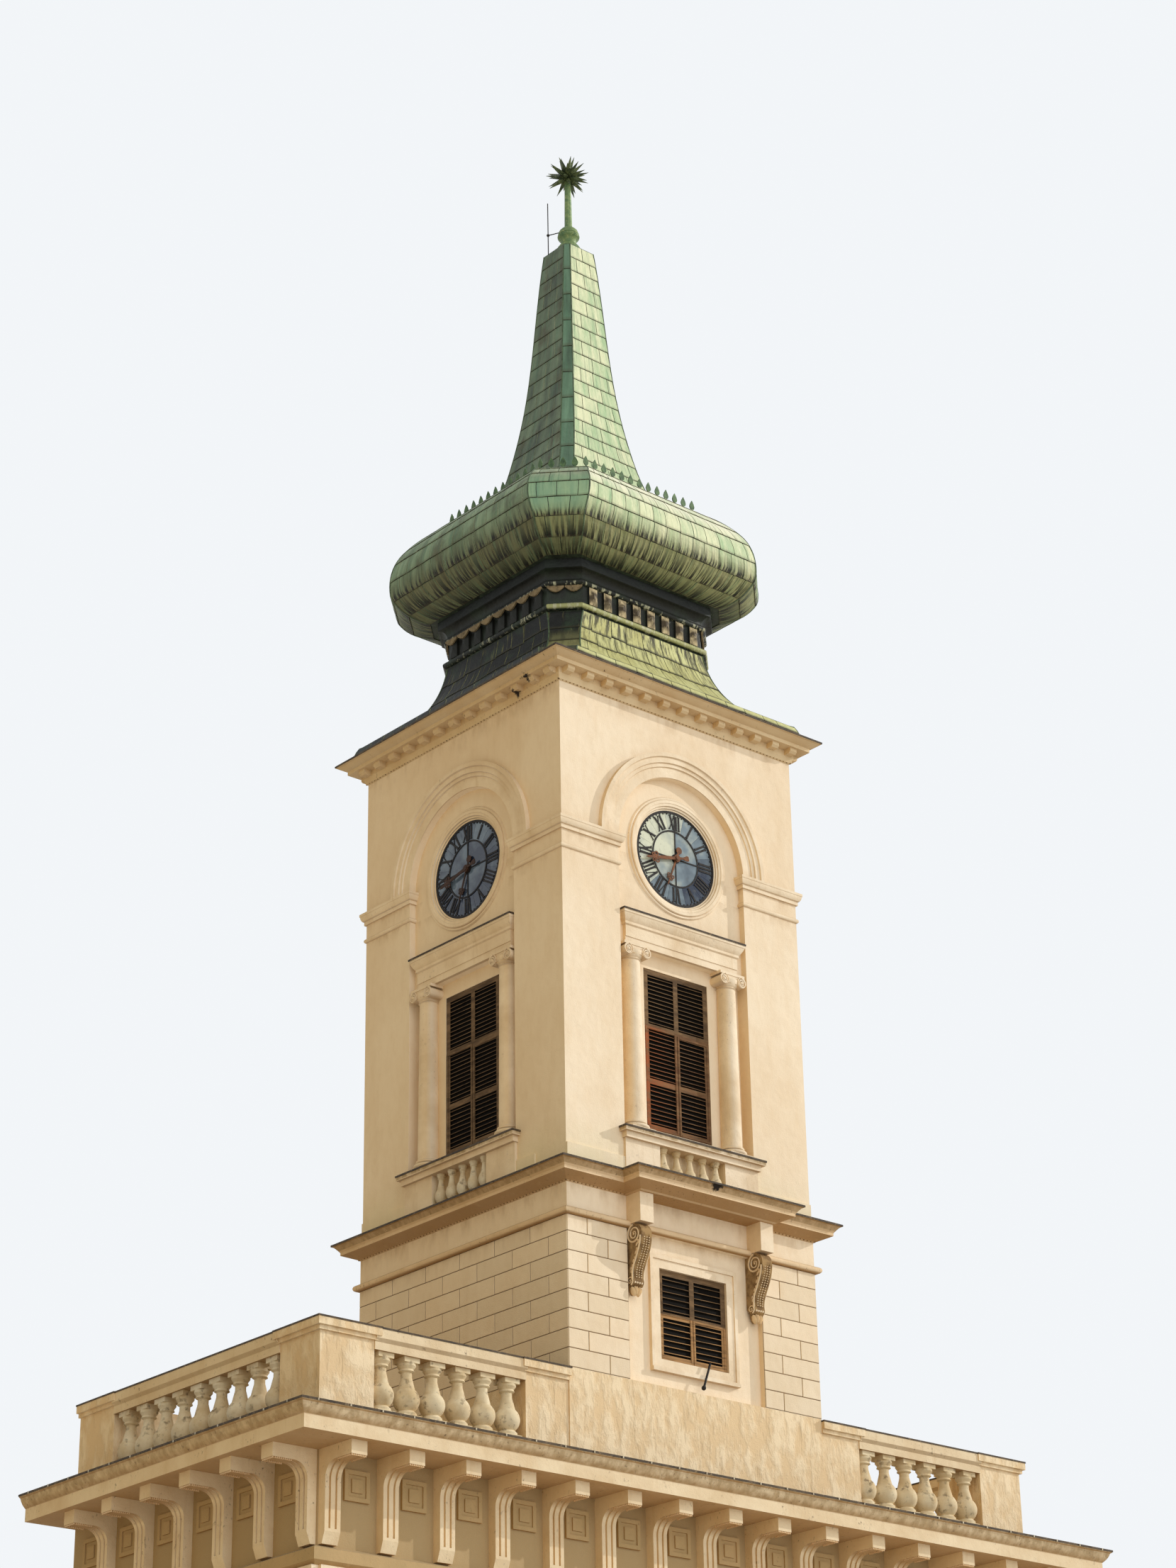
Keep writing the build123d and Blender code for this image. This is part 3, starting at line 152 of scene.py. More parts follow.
def setLight():
    for name, wanted in lightSettings["lamps"].items():
        lamp = bpy.data.lights.new(name, "SUN")
        lamp.energy = wanted["strength"]
        lamp.angle = math.radians(wanted["spread"])
        lamp.color = wanted["tone"]
        towards = Vector(wanted["comesFrom"]).to_track_quat("Z", "Y")
        intoScene(name, lamp).rotation_euler = towards.to_euler()
    world = bpy.data.worlds.new("studio")
    bpy.context.scene.world = world
    world.use_nodes = True
    tree = world.node_tree
    tree.nodes.clear()
    soft = addNode(tree, "ShaderNodeBackground", {
        "Color": lightSettings["skyTone"], "Strength": lightSettings["sky"]})
    backdrop = addNode(tree, "ShaderNodeBackground", {"Color": lightSettings["backdrop"]})
    camera, glossy, through = (Field(tree.nodes.new("ShaderNodeLightPath").outputs[name])
                               for name in ("Is Camera Ray", "Is Glossy Ray",
                                            "Is Transmission Ray"))
    mixed = addNode(tree, "ShaderNodeMixShader", {
        0: camera.larger(glossy).larger(through), 1: soft.outputs[0], 2: backdrop.outputs[0]})
    addNode(tree, "ShaderNodeOutputWorld", {"Surface": mixed.outputs[0]})
    bpy.context.scene.view_settings.view_transform = "Standard"


def setFloor():
    reach = lightSettings["floorReach"]
    mesh = plainMesh("floor", [(-reach, -reach, 0), (reach, -reach, 0), (reach, reach, 0),
                               (-reach, reach, 0)], [(0, 1, 2, 3)])
    paint = bpy.data.materials.new("floorPaint")
    paint.use_nodes = True
    shader = paint.node_tree.nodes["Principled BSDF"]
    shader.inputs["Base Color"].default_value = lightSettings["floor"]
    shader.inputs["Roughness"].default_value = lightSettings["floorRoughness"]
    mesh.materials.append(paint)
    intoScene("floor", mesh)


setCamera()
setLight()
setFloor()
print("camera, light and floor set")


class Paint:
    # a material under way: its colour so far and what the layers on it are made from
    def __init__(self, name, colour, roughness, metallic=0.0, sheen=0.35):
        self.material = bpy.data.materials.new(name)
        self.material.use_nodes = True
        self.tree = self.material.node_tree
        self.shader = self.tree.nodes["Principled BSDF"]
        for label, value in (("Roughness", roughness), ("Metallic", metallic),
                             ("Specular IOR Level", sheen)):
            self.shader.inputs[label].default_value = value
        self.coords = self.tree.nodes.new("ShaderNodeTexCoord").outputs["Object"]
        self.colour = colour

    def split(self, vector):
        return [Field(axis) for axis in
                addNode(self.tree, "ShaderNodeSeparateXYZ", {0: vector}).outputs]

    def place(self):
        return self.split(self.coords)

    def facing(self):
        return self.split(self.tree.nodes.new("ShaderNodeNewGeometry").outputs["Normal"])

    def stored(self, name, output="Fac"):
        made = addNode(self.tree, "ShaderNodeAttribute", {}, attribute_name=name)
        return Field(made.outputs[output])

    def patches(self, scale, low, high, stretch=None, detail=4.0, top=1.0, over=None):
        # 0 to top where a noise, stretched as told, rises from low to high
        coords = over or self.coords
        if stretch:
            coords = addNode(self.tree, "ShaderNodeMapping",
                             {"Vector": coords, "Scale": stretch}).outputs[0]
        cloud = addNode(self.tree, "ShaderNodeTexNoise", {
            "Vector": coords, "Scale": scale, "Detail": detail, "Roughness": 0.6})
        return Field(cloud.outputs[0]).between(low, high, 0.0, top)

    def mix(self, share, first, second, way="MIX"):
        return addNode(self.tree, "ShaderNodeMix", {0: share, 6: first, 7: second},
                       data_type="RGBA", blend_type=way).outputs[2]

    def lay(self, share, colour):
        self.colour = self.mix(share, self.colour, colour)

    def paintShadeOnLeft(self):
        # painted shade: faces to the left are painted yellower and a little darker, as if shaded
        # and lit by warm bounce light
        leftShade = self.mix(1.0, self.colour, tone(252, 240, 216), "MULTIPLY")
        self.lay(self.facing()[0].between(-0.4, -0.8), leftShade)

    def finish(self, height, distance, strength=0.8):
        self.tree.links.new(self.colour, self.shader.inputs["Base Color"])
        bump = addNode(self.tree, "ShaderNodeBump", {
            "Height": height, "Distance": distance, "Strength": strength})
        self.tree.links.new(bump.outputs[0], self.shader.inputs["Normal"])
        return self.material


def ledgeDirtAndShade(z, ledges):
    # rises to 1 just under each ledge (height, depth) and is 0 above it; it masks dirt and
    # painted shade under the ledges
    shares = [z.between(height - depth, height) * (z < height + 0.004)
              for height, depth in ledges]
    total = shares[0]
    for share in shares[1:]:
        total = total.larger(share)
    return total


stuccoSettings = {
    "base": tone(245, 225, 196), "pale": tone(251, 234, 208), "stain": tone(226, 197, 156),
    "shaded": tone(172, 146, 102), "grimeAndShade": tone(186, 152, 108), "moss": tone(226, 216, 168),
    "cast": tone(236, 208, 166), "castPale": tone(250, 229, 194),
    "castDeep": tone(206, 176, 130), "block": tone(206, 186, 150),
    "streaks": (2.2, 2.2, 0.35), "splashHeight": 0.85, "backWall": 3.47,
    "upperLedges": ((25.49, 0.35), (22.93, 0.25), (22.61, 0.2)),
    "lowerLedges": ((17.19, 0.3), (16.70, 0.25)), "blockLedges": ((11.0, 0.25),),
}


def makeStucco(name, ledges=(), roughBelow=None, splash=None, shadedAbove=None,
               ownTones=False):
    # plaster with runs and stains, dirt and painted shade under its ledges, painted shade above a
    # given height and on faces to the left; roughcast below a height
    s = stuccoSettings
    paint = Paint(name, s["base"], 0.88)
    y, z = paint.place()[1:]
    paint.lay(paint.patches(0.55, 0.4, 0.62, detail=6.0), s["pale"])
    paint.lay(paint.patches(1.0, 0.52, 0.78, s["streaks"], detail=7.0, top=0.3), s["stain"])
    paint.lay(paint.patches(9.0, 0.45, 0.75, (1, 1, 0.4), detail=8.0, top=0.22), s["stain"])
    if ledges:
        # dirt and painted shade in spots just under the ledges
        spots = paint.patches(5.0, 0.45, 0.75, (1, 1, 0.4), detail=8.0, top=0.6)
        paint.lay(ledgeDirtAndShade(z, ledges) * spots, s["grimeAndShade"])
    if splash:
        wet = z.between(splash, splash + s["splashHeight"], 1.0, 0.0)
        paint.lay(wet * paint.patches(1.1, 0.3, 0.6, top=0.5), s["moss"])
    if shadedAbove:
        # painted shade: above the frieze's foot the wall is darkened as if in the main cornice's
        # shade, except on the back wall
        shade = z.between(shadedAbove, shadedAbove + 0.02, 0.0, 0.9) * (y < s["backWall"])
        paint.lay(shade, s["shaded"])
    height = paint.patches(55.0, 0.2, 0.8, detail=5.0) + paint.patches(
        2.6, 0.3, 0.7, detail=2.0, top=2.5)
    if roughBelow:
        rough = z < roughBelow
        lumps = paint.patches(5.0, 0.42, 0.60, (1, 1, 0.5), detail=9.0)
        worn = paint.patches(1.3, 0.35, 0.65, detail=5.0).between(0.0, 1.0, 0.25, 0.8)
        grooves = paint.patches(8.0, 0.56, 0.64, (1, 1, 0.2), detail=6.0) * worn
        coarse = paint.mix(lumps, s["cast"], s["castPale"])
        paint.lay(rough, paint.mix(grooves * 0.35, coarse, s["castDeep"]))
        height = height + (lumps - grooves) * 4.0 * rough
    # painted shade on the faces to the left
    paint.paintShadeOnLeft()
    if ownTones:
        paint.lay(paint.stored("pieceTone").between(0.0, 1.0, 0.0, 0.28), s["block"])
    return paint.finish(height, 0.004)


trimSettings = {
    "cream": tone(251, 234, 208), "peach": tone(240, 214, 178), "white": tone(240, 221, 188),
    # the frieze's dark tone is painted shade under the main cornice
    "frieze": tone(184, 158, 114), "pink": tone(230, 208, 170),
    "paintedUnderShade": tone(156, 110, 50), "topGrey": tone(176, 156, 120),
    "spot": tone(78, 58, 40), "stain": tone(206, 174, 128), "crown": tone(182, 158, 122),
    "brokenHollowShade": tone(34, 26, 20), "carved": tone(170, 138, 92), "carvedDeepShade": tone(120, 92, 58),
    "crowns": ((17.37, 17.50), (12.74, 12.95), (18.21, 18.285)),
    "damage": (((-0.10, -3.20, 17.40), 0.11), ((-2.80, -1.95, 25.63), 0.12),
               ((-2.62, -1.55, 25.60), 0.09)),
    "blockFoot": 16.735,
}


def makeTrim(name, base, spots, under, carvedBelow=None):
    # painted mouldings: painted warm shade below, grey on top and on the crowns, dark specks,
    # short runs
    s = trimSettings
    paint = Paint(name, s[base], 0.85)
    z, up = paint.place()[2], paint.facing()[2]
    paint.lay(paint.patches(1.4, 0.38, 0.66, detail=6.0), s["stain"])
    paint.lay(0.55, s[base])
    bands = [(z > low) * (z < high) for low, high in s["crowns"]]
    crown = bands[0] + bands[1] + bands[2]
    mottled = paint.patches(9.0, 0.35, 0.6, (1, 1, 0.6), detail=8.0)
    paint.lay(crown * mottled.between(0, 1, 0.35, 1.0), s["crown"])
    # painted shade with warm bounce light on the faces that look down
    paint.lay(up.between(-0.5, -0.95, 0.0, under), s["paintedUnderShade"])
    paint.lay(up.between(0.4, 0.95, 0.0, 0.85), s["topGrey"])
    specks = paint.patches(21.0, 0.6, 0.72, (1, 1, 0.7), detail=8.0)
    zones = paint.patches(1.3, 0.46, 0.62, detail=5.0).larger(crown * 0.8)
    paint.lay(specks * zones * spots, s["spot"])
    paint.lay(paint.patches(7.0, 0.58, 0.74, (1, 1, 0.15), detail=7.0, top=0.35), s["stain"])
    ragged = paint.patches(14.0, 0.3, 0.7, detail=6.0, top=0.1)
    # broken spots painted nearly black: the damage with the painted shade of its hollow
    for centre, radius in s["damage"]:
        away = Field(addNode(paint.tree, "ShaderNodeVectorMath", {0: paint.coords, 1: centre},
                             operation="DISTANCE").outputs[1])
        paint.lay((away + ragged).between(radius + 0.06, radius + 0.02), s["brokenHollowShade"])
    # painted shade on the faces to the left
    paint.paintShadeOnLeft()
    if carvedBelow:
        # painted shade: below the block the carved console is darkened as if its sides and
        # grooves were shaded
        carvedShade = paint.patches(9.0, 0.4, 0.62, detail=5.0)
        paint.lay(z < carvedBelow, paint.mix(carvedShade, s["carved"], s["carvedDeepShade"]))
    height = paint.patches(60.0, 0.2, 0.8, detail=5.0) + paint.patches(
        6.0, 0.3, 0.7, detail=3.0, top=2.0)
    return paint.finish(height, 0.003)


def facingTo(along, against):
    # 1 on faces that look along the one axis or against the other
    return against.between(-0.3, -0.62).larger(along.between(0.3, 0.62))


def facingCorner(nx, ny):
    return (nx * ny).reckon("ABSOLUTE").between(0.22, 0.4)


copperSettings = {
    "pale": tone(228, 232, 194), "fair": tone(172, 200, 156), "mid": tone(116, 152, 120),
    "cut": tone(126, 168, 140), "deep": tone(84, 128, 100), "shade": tone(72, 84, 70),
    "shadePale": tone(124, 142, 116), "tan": tone(150, 148, 96), "tanShade": tone(112, 106, 70),
    "black": tone(22, 23, 17), "brown": tone(78, 70, 48), "paintedHighlight": tone(248, 247, 222),
    "spireCut": tone(60, 80, 64), "bulbShade": tone(98, 116, 88),
    "bulbShadePale": tone(142, 164, 130), "spireFoot": 30.17,
}


def makeCopper(name):
    # weathered sheets, pale on the sunny faces and dark on the others, partly weathering and
    # partly painted light and shade; attribute pieceTone is one value a sheet, along is 0 at
    # its lower edge and 1 at the upper one, run is (across, up the slope, side) in metres
    s = copperSettings
    paint = Paint(name, s["deep"], 0.62, 0.1)
    z, (nx, ny, nz) = paint.place()[2], paint.facing()
    along, run = paint.stored("along"), paint.stored("run", "Vector")
    sunny, under = facingTo(nx, ny), nz.between(0.1, -0.5)
    bulb = z < s["spireFoot"]
    washed = paint.patches(1.0, 0.34, 0.66, (7, 0.8, 1), detail=6.0, over=run)
    clouds = paint.patches(1.5, 0.3, 0.7, detail=6.0)
    share = paint.stored("pieceTone") * 0.28 + clouds * 0.27 + washed * 0.45
    paint.lay(share, s["mid"])
    # painted light with weathering: pale tones on the sunny faces
    sunSide = paint.mix(share.between(0.2, 0.7), s["fair"], s["pale"])
    # painted highlight: near white on the bulb's upward sunny crest
    crest = nz.between(0.25, 0.7) * bulb * share.between(0.1, 0.6, 0.35, 1.0)
    paint.lay(sunny, paint.mix(crest, sunSide, s["paintedHighlight"]))
    # painted shade with weathering: dark tones on the faces away from the sun
    darkSide = paint.mix(share.between(0.25, 0.8), s["shade"], s["shadePale"])
    bulbSide = paint.mix(share.between(0.25, 0.7), s["bulbShade"], s["bulbShadePale"])
    darkSide = paint.mix(bulb, darkSide, bulbSide)
    rust = paint.patches(2.6, 0.52, 0.64, (1, 1, 0.6), detail=6.0, top=0.6)
    paint.lay(facingTo(ny, nx), paint.mix(rust, darkSide, s["brown"]))
    cutTone = paint.mix(z > s["spireFoot"], paint.mix(share, s["cut"], s["fair"]),
                        paint.mix(share, s["spireCut"], s["cut"]))
    paint.lay(facingCorner(nx, ny) * 0.85, cutTone)
    paint.lay(under * 0.8, paint.mix(sunny, s["tanShade"], s["tan"]))
    fineRuns = paint.patches(1.0, 0.52, 0.66, (24, 1.1, 1), detail=5.0, over=run)
    paint.lay(fineRuns * 0.45, s["deep"])
    black = paint.patches(1.0, 0.46, 0.53, (19, 1.5, 1), detail=6.0, over=run)
    wet = along.between(1.0, 0.1, 0.25, 1.0) * under.between(0.1, 0.8)
    paint.lay(black * wet, s["black"])
    paint.lay(along.between(0.14, 0.0) * 0.5, s["brown"])
    dents = paint.patches(5.0, 0.3, 0.7, detail=2.0, top=3.0) + paint.patches(
        40.0, 0.3, 0.7, detail=4.0, top=0.5)
    return paint.finish(dents, 0.004, 0.7)


skirtPaintSettings = {
    "front": tone(182, 178, 114), "pale": tone(214, 216, 158), "dark": tone(50, 48, 32),
    "green": tone(50, 68, 48), "sootAndShade": tone(20, 21, 18), "black": tone(14, 15, 12),
    "runs": (26.45, 27.45),
}


def makeSkirtCopper(name):
    # pale yellow-green on the sunny sides, nearly black on the others, partly weathering and
    # partly painted light and shade; ragged runs from above
    s = skirtPaintSettings
    paint = Paint(name, s["sootAndShade"], 0.6, 0.1)
    z, (nx, ny) = paint.place()[2], paint.facing()[:2]
    along, run = paint.stored("along"), paint.stored("run", "Vector")
    clouds = paint.patches(3.0, 0.3, 0.7, detail=6.0)
    share = paint.stored("pieceTone") * 0.4 + clouds * 0.6
    runs = paint.patches(1.0, 0.47, 0.58, (15, 2.4, 1), detail=7.0, over=run)
    sunSide = paint.mix(runs * z.between(*s["runs"], 0.08, 1.0),
                        paint.mix(share, s["front"], s["pale"]), s["dark"])
    paint.lay(paint.patches(2.4, 0.5, 0.7, detail=6.0, top=0.7), s["green"])
    paint.lay(paint.patches(1.0, 0.5, 0.62, (12, 0.8, 1), top=0.7, over=run), s["black"])
    paleRuns = paint.patches(1.0, 0.6, 0.7, (14, 1.6, 1), detail=6.0, top=0.3, over=run)
    paint.lay(paleRuns, s["front"])
    # painted light with weathering: the pale tones only on the sunny sides, the rest left dark as
    # painted shade and soot
    paint.lay(facingTo(nx, ny) * (1.0 - facingCorner(nx, ny)), sunSide)
    paint.lay(along.between(0.16, 0.02) * 0.9, s["dark"])
    return paint.finish(paint.patches(6.0, 0.3, 0.7, detail=3.0, top=3.0), 0.004, 0.7)


neckSettings = {
    "dark": tone(30, 32, 27), "green": tone(52, 70, 50), "blue": tone(34, 38, 38),
    "pale": tone(176, 178, 122), "white": tone(190, 190, 160), "paintedLitTan": tone(206, 188, 148),
    "worn": tone(116, 104, 76), "deep": tone(70, 58, 38), "fascia": 28.185,
    "lowTip": (27.46, 27.49, 27.57, 27.60), "highTip": (27.905, 27.935, 27.965, 27.99),
    "blockMiddle": (27.62, 27.70, 27.80, 27.86), "blockPlane": 1.7,
}


def makeNeckCopper(name):
    # dark bands between rolls, soot and painted shade under the bulb; the lower tips painted
    # light on the sunny sides, and both tips washed pale by dripping water
    s = neckSettings
    paint = Paint(name, s["dark"], 0.55, 0.15)
    z, (nx, ny) = paint.place()[2], paint.facing()[:2]
    paint.lay(paint.patches(1.8, 0.45, 0.68, detail=6.0, top=0.55), s["green"])
    paint.lay((z > s["fascia"]) * 0.7, s["blue"])
    drops = paint.patches(1.0, 0.54, 0.6, (17, 17, 0.6), detail=3.0, top=0.8)
    lowTip = z.band(*s["lowTip"])
    # painted light: the lower roll's tip pale on the sunny sides
    paint.lay(lowTip * (facingTo(nx, ny) * 0.85), s["pale"])
    paint.lay(lowTip.larger(z.band(*s["highTip"])) * drops, s["white"])
    return paint.finish(paint.patches(8.0, 0.3, 0.7, detail=3.0, top=2.0), 0.004, 0.7)


def makeBlockCopper(name):
    # little blocks: tan and washed on the sunny sides as painted light, dark on the others as
    # soot and painted shade
    s = neckSettings
    paint = Paint(name, s["dark"], 0.6, 0.1)
    (x, y, z), (nx, ny) = paint.place(), paint.facing()[:2]
    washed = paint.mix(paint.patches(9.0, 0.42, 0.6, (1, 1, 0.5), detail=6.0), s["paintedLitTan"],
                       s["worn"])
    # painted shade: a dark band across the middle of each block's face
    middle = z.band(*s["blockMiddle"]) * paint.patches(6.0, 0.35, 0.5)
    onSunny = (x > -s["blockPlane"]) * (y < s["blockPlane"])
    paint.lay(facingTo(nx, ny) * onSunny, paint.mix(middle, washed, s["deep"]))
    return paint.finish(paint.patches(20.0, 0.3, 0.7, detail=4.0), 0.003, 0.7)


def layBlend(paint, scale, second, third=None):
    # a second tone in patches and a third in small specks
    paint.lay(paint.patches(scale, 0.38, 0.64, detail=6.0), tone(*second))
    if third:
        paint.lay(paint.patches(scale * 3, 0.56, 0.7, detail=7.0, top=0.8), tone(*third))


def makeBlend(name, roughness, metallic, scale, first, second, third=None, grain=30.0):
    paint = Paint(name, tone(*first), roughness, metallic)
    layBlend(paint, scale, second, third)
    worn = paint.patches(scale * 2, 0.3, 0.7).between(
        0.0, 1.0, roughness - 0.12, min(1.0, roughness + 0.1))
    paint.tree.links.new(worn.socket, paint.shader.inputs["Roughness"])
    return paint.finish(paint.patches(grain, 0.25, 0.75, detail=5.0), 0.002)


timberSettings = {
    "board": tone(92, 74, 56), "faded": tone(132, 106, 78), "red": tone(160, 92, 58),
    "worn": tone(150, 122, 88), "gap": tone(14, 11, 8), "sunlit": tone(196, 152, 104),
    "belfryFoot": 17.5, "redTop": (20.20, 20.14), "redAcross": (0.02, -0.66),
    "belfryDepth": (2.258, 2.243), "lowDepth": (2.418, 2.403), "doorTop": 13.5,
    "litTop": 15.53, "litFace": -2.41,
}


def makeTimber(name):
    # old dark boards, painted redder where the lower leaves catch the sun, painted nearly black
    # as shade behind the slats
    s = timberSettings
    paint = Paint(name, s["board"], 0.8, sheen=0.08)
    x, y, z = paint.place()
    paint.lay(paint.patches(2.0, 0.4, 0.65, (1, 1, 6), detail=6.0), s["faded"])
    belfry = z > s["belfryFoot"]
    red = (y < -2.0) * z.between(*s["redTop"]) * x.between(*s["redAcross"], 0.15, 1.0)
    paint.lay(red * belfry * paint.patches(4.0, 0.3, 0.55, (1, 1, 3)), s["red"])
    paint.lay(paint.patches(16.0, 0.54, 0.7, (0.35, 0.35, 2), detail=6.0, top=0.55), s["worn"])
    reach = x.reckon("ABSOLUTE").larger(y.reckon("ABSOLUTE"))
    lowWindow = (1.0 - belfry) * (z > s["doorTop"])
    # painted shade: the timber deep behind the slats is nearly black
    shadeBehindSlats = (belfry * reach.between(*s["belfryDepth"])).larger(
        lowWindow * reach.between(*s["lowDepth"]))
    lit = (z < s["litTop"]) * (y < s["litFace"])
    paint.lay(lit * paint.patches(5.0, 0.3, 0.55, (0.4, 0.4, 6), top=0.75), s["sunlit"])
    paint.lay(shadeBehindSlats, s["gap"])
    return paint.finish(paint.patches(30.0, 0.3, 0.7, (0.2, 0.2, 3), detail=5.0), 0.002)


def makePanes(name):
    # old panes: each its own tone, mostly the sky's reflection painted per pane, from dark blue
    # through grey to cream
    paint = Paint(name, tone(38, 50, 72), 0.12)
    cloudy = paint.patches(2.2, 0.3, 0.7, detail=3.0, top=0.5)
    value = paint.stored("pieceTone") + (cloudy - 0.25)
    paint.lay(value.between(0.0, 0.5), tone(126, 144, 156))
    paint.lay(value.between(0.5, 1.0), tone(222, 226, 204))
    paint.lay(paint.patches(14.0, 0.55, 0.75, detail=6.0, top=0.4), tone(120, 118, 104))
    paint.shader.inputs["Coat Weight"].default_value = 0.3
    return paint.finish(paint.patches(5.0, 0.3, 0.7, detail=2.0), 0.003, 0.5)


def makePaving(name):
    # flags on top, plain stucco on the slab's edges
    paint = Paint(name, stuccoSettings["base"], 0.85)
    flags = addNode(paint.tree, "ShaderNodeTexBrick", {
        "Vector": paint.coords, "Color1": tone(176, 166, 148), "Color2": tone(158, 148, 130),
        "Mortar": tone(104, 96, 84), "Scale": 1.0, "Mortar Size": 0.012, "Brick Width": 0.5,
        "Row Height": 0.5}, offset=0.5)
    mossy = paint.mix(paint.patches(3.0, 0.45, 0.7, top=0.4), flags.outputs[0],
                      tone(128, 122, 96))
    paint.lay(paint.patches(4.0, 0.4, 0.7, (1, 1, 0.4), detail=7.0), stuccoSettings["grimeAndShade"])
    paint.lay(paint.facing()[2] > 0.5, mossy)
    return paint.finish(paint.patches(30.0, 0.3, 0.7), 0.002, 1.0)


handSettings = {"copper": (136, 86, 54), "brown": (98, 64, 42), "dark": (58, 42, 32),
                "shady": tone(34, 29, 27), "dialPlane": 2.3}


def makeHandPaint(name):
    # copper hands, nearly black on the two shady dials
    s = handSettings
    paint = Paint(name, tone(*s["copper"]), 0.65, sheen=0.2)
    x, y = paint.place()[:2]
    layBlend(paint, 7.0, s["brown"], s["dark"])
    away = (x < -s["dialPlane"]).larger(y > s["dialPlane"])
    paint.lay(away * 0.8, s["shady"])
    return paint.finish(paint.patches(30.0, 0.25, 0.75, detail=5.0), 0.002)


frieze = nodes["frieze_band"]
friezeFoot = min((frieze.matrix_world @ Vector(corner)).z for corner in frieze.bound_box)
print("frieze starts at", round(friezeFoot, 3))

paints = {
    "upperStucco": makeStucco("upperStucco", stuccoSettings["upperLedges"], splash=17.48),
    "lowerStucco": makeStucco("lowerStucco", stuccoSettings["lowerLedges"], roughBelow=14.4),
    "roughcast": makeStucco("roughcast", roughBelow=100.0),
    "blockStucco": makeStucco("blockStucco", stuccoSettings["blockLedges"],
                              shadedAbove=friezeFoot),
    "blocks": makeStucco("blockFaces", stuccoSettings["lowerLedges"], ownTones=True),
    "copper": makeCopper("roofCopper"), "skirt": makeSkirtCopper("skirtCopper"),
    "neck": makeNeckCopper("neckCopper"), "neckBlock": makeBlockCopper("litAndShadedCopper"),
    "hand": makeHandPaint("handCopper"), "timber": makeTimber("shutterTimber"),
    "panes": makePanes("dialPanes"), "paving": makePaving("terracePaving"),
}

# material, base tone, spots, painted warm shade below, and the height below which it is carved
trimPaints = {
    "cream": ("creamTrim", "cream", 0.35, 0.45), "peach": ("peachTrim", "peach", 0.8, 0.8),
    "white": ("whiteTrim", "white", 0.95, 0.75), "frieze": ("friezeShadeTrim", "frieze", 0.6, 0.8),
    "pink": ("pinkTrim", "pink", 0.9, 0.3),
    "carved": ("carvedStucco", "cream", 0.6, 0.5, trimSettings["blockFoot"]),
}

# material, roughness, metallic, scale, two or three tones, and the grain
blendPaints = {
    "stone": ("balusterStone", 0.85, 0.0, 3.0, (236, 220, 186), (214, 190, 148),
              (120, 102, 78), 50.0),
    "plinth": ("plinthStone", 0.85, 0.0, 2.0, (206, 192, 164), (180, 164, 134),
               (130, 118, 96), 40.0),
    "seam": ("seamCopper", 0.6, 0.1, 4.0, (34, 40, 32), (58, 70, 54), (96, 118, 90)),
    "leaf": ("crestCopper", 0.6, 0.1, 12.0, (62, 88, 58), (104, 132, 88), (34, 42, 28)),
    "roll": ("rollCopper", 0.6, 0.1, 6.0, (92, 110, 80), (62, 76, 54), (40, 44, 32)),
    "finial": ("finialCopper", 0.55, 0.15, 8.0, (126, 148, 96), (92, 122, 84),
               (176, 180, 120)),
    "star": ("starBronze", 0.5, 0.3, 9.0, (52, 66, 48), (104, 116, 74), (150, 156, 104)),
    "iron": ("dialIron", 0.75, 0.0, 20.0, (20, 18, 17), (34, 29, 26), (58, 43, 32)),
    "clip": ("clipZinc", 0.5, 0.3, 30.0, (196, 186, 164), (150, 138, 116), (96, 84, 66)),
    # beads painted dark brown as the shade under the cornices
    "beadShadeTrim": ("beadShadeTrim", 0.9, 0.0, 9.0, (150, 116, 74), (96, 72, 46), (206, 170, 122)),
    "flashing": ("edgeFlashing", 0.75, 0.0, 5.0, (58, 48, 38), (92, 78, 62),
                 (140, 120, 92)),
    "scallop": ("scallopCopper", 0.7, 0.0, 9.0, (152, 132, 98), (112, 98, 72), (60, 48, 34)),
    "joint": ("jointShadow", 0.95, 0.0, 8.0, (140, 112, 80), (112, 90, 66)),
}
paints.update({name: makeTrim(*wanted) for name, wanted in trimPaints.items()})
paints.update({name: makeBlend(*wanted) for name, wanted in blendPaints.items()})

nodePaints = {
    "upperStucco": ("upper_wall_front", "upper_wall_back", "upper_side_walls"),
    "lowerStucco": ("lower_wall_front", "lower_wall_back", "lower_side_walls"),
    "roughcast": ("parapet_pedestals", "parapet_back_wall"),
    "blockStucco": ("block_wall_front", "block_wall_back", "block_side_walls",
                    "tower_base_walls", "inner_floors", "pilasters"),
    "cream": ("archivolts", "dial_frames", "entablatures", "ionic_columns",
              "low_window_frame", "belfry_sills", "pier_bands"),
    "carved": ("cornice_consoles",),
    "frieze": ("frieze_band", "frieze_panels"),
    "pink": ("top_cornice", "top_modillions"),
    "peach": ("mid_cornice", "roll_moulding", "entrance_surround"),
    "white": ("main_cornice", "parapet_rails", "cornice_brackets"),
    "stone": ("belfry_balusters", "parapet_balusters"),
    "plinth": ("plinth",),
    "seam": ("skirt_roof", "bulb_roof", "spire_roof"),
    "neck": ("neck",),
    "neckBlock": ("neck_blocks",),
    "leaf": ("crest_leaves",),
    "finial": ("finial_pole",),
    "star": ("star_ball",),
    "iron": ("lightning_rod", "dial_ironwork"),
    "panes": ("dial_glass",),
    "timber": ("belfry_shutters", "low_window_shutter", "entrance_door"),
    "paving": ("terrace_slab",),
    "hand": [name for name in nodes if name.startswith(("hour_hand", "minute_hand"))],
}


def giveMaterial(mesh, paint):
    mesh.materials.clear()
    mesh.materials.append(paints[paint])


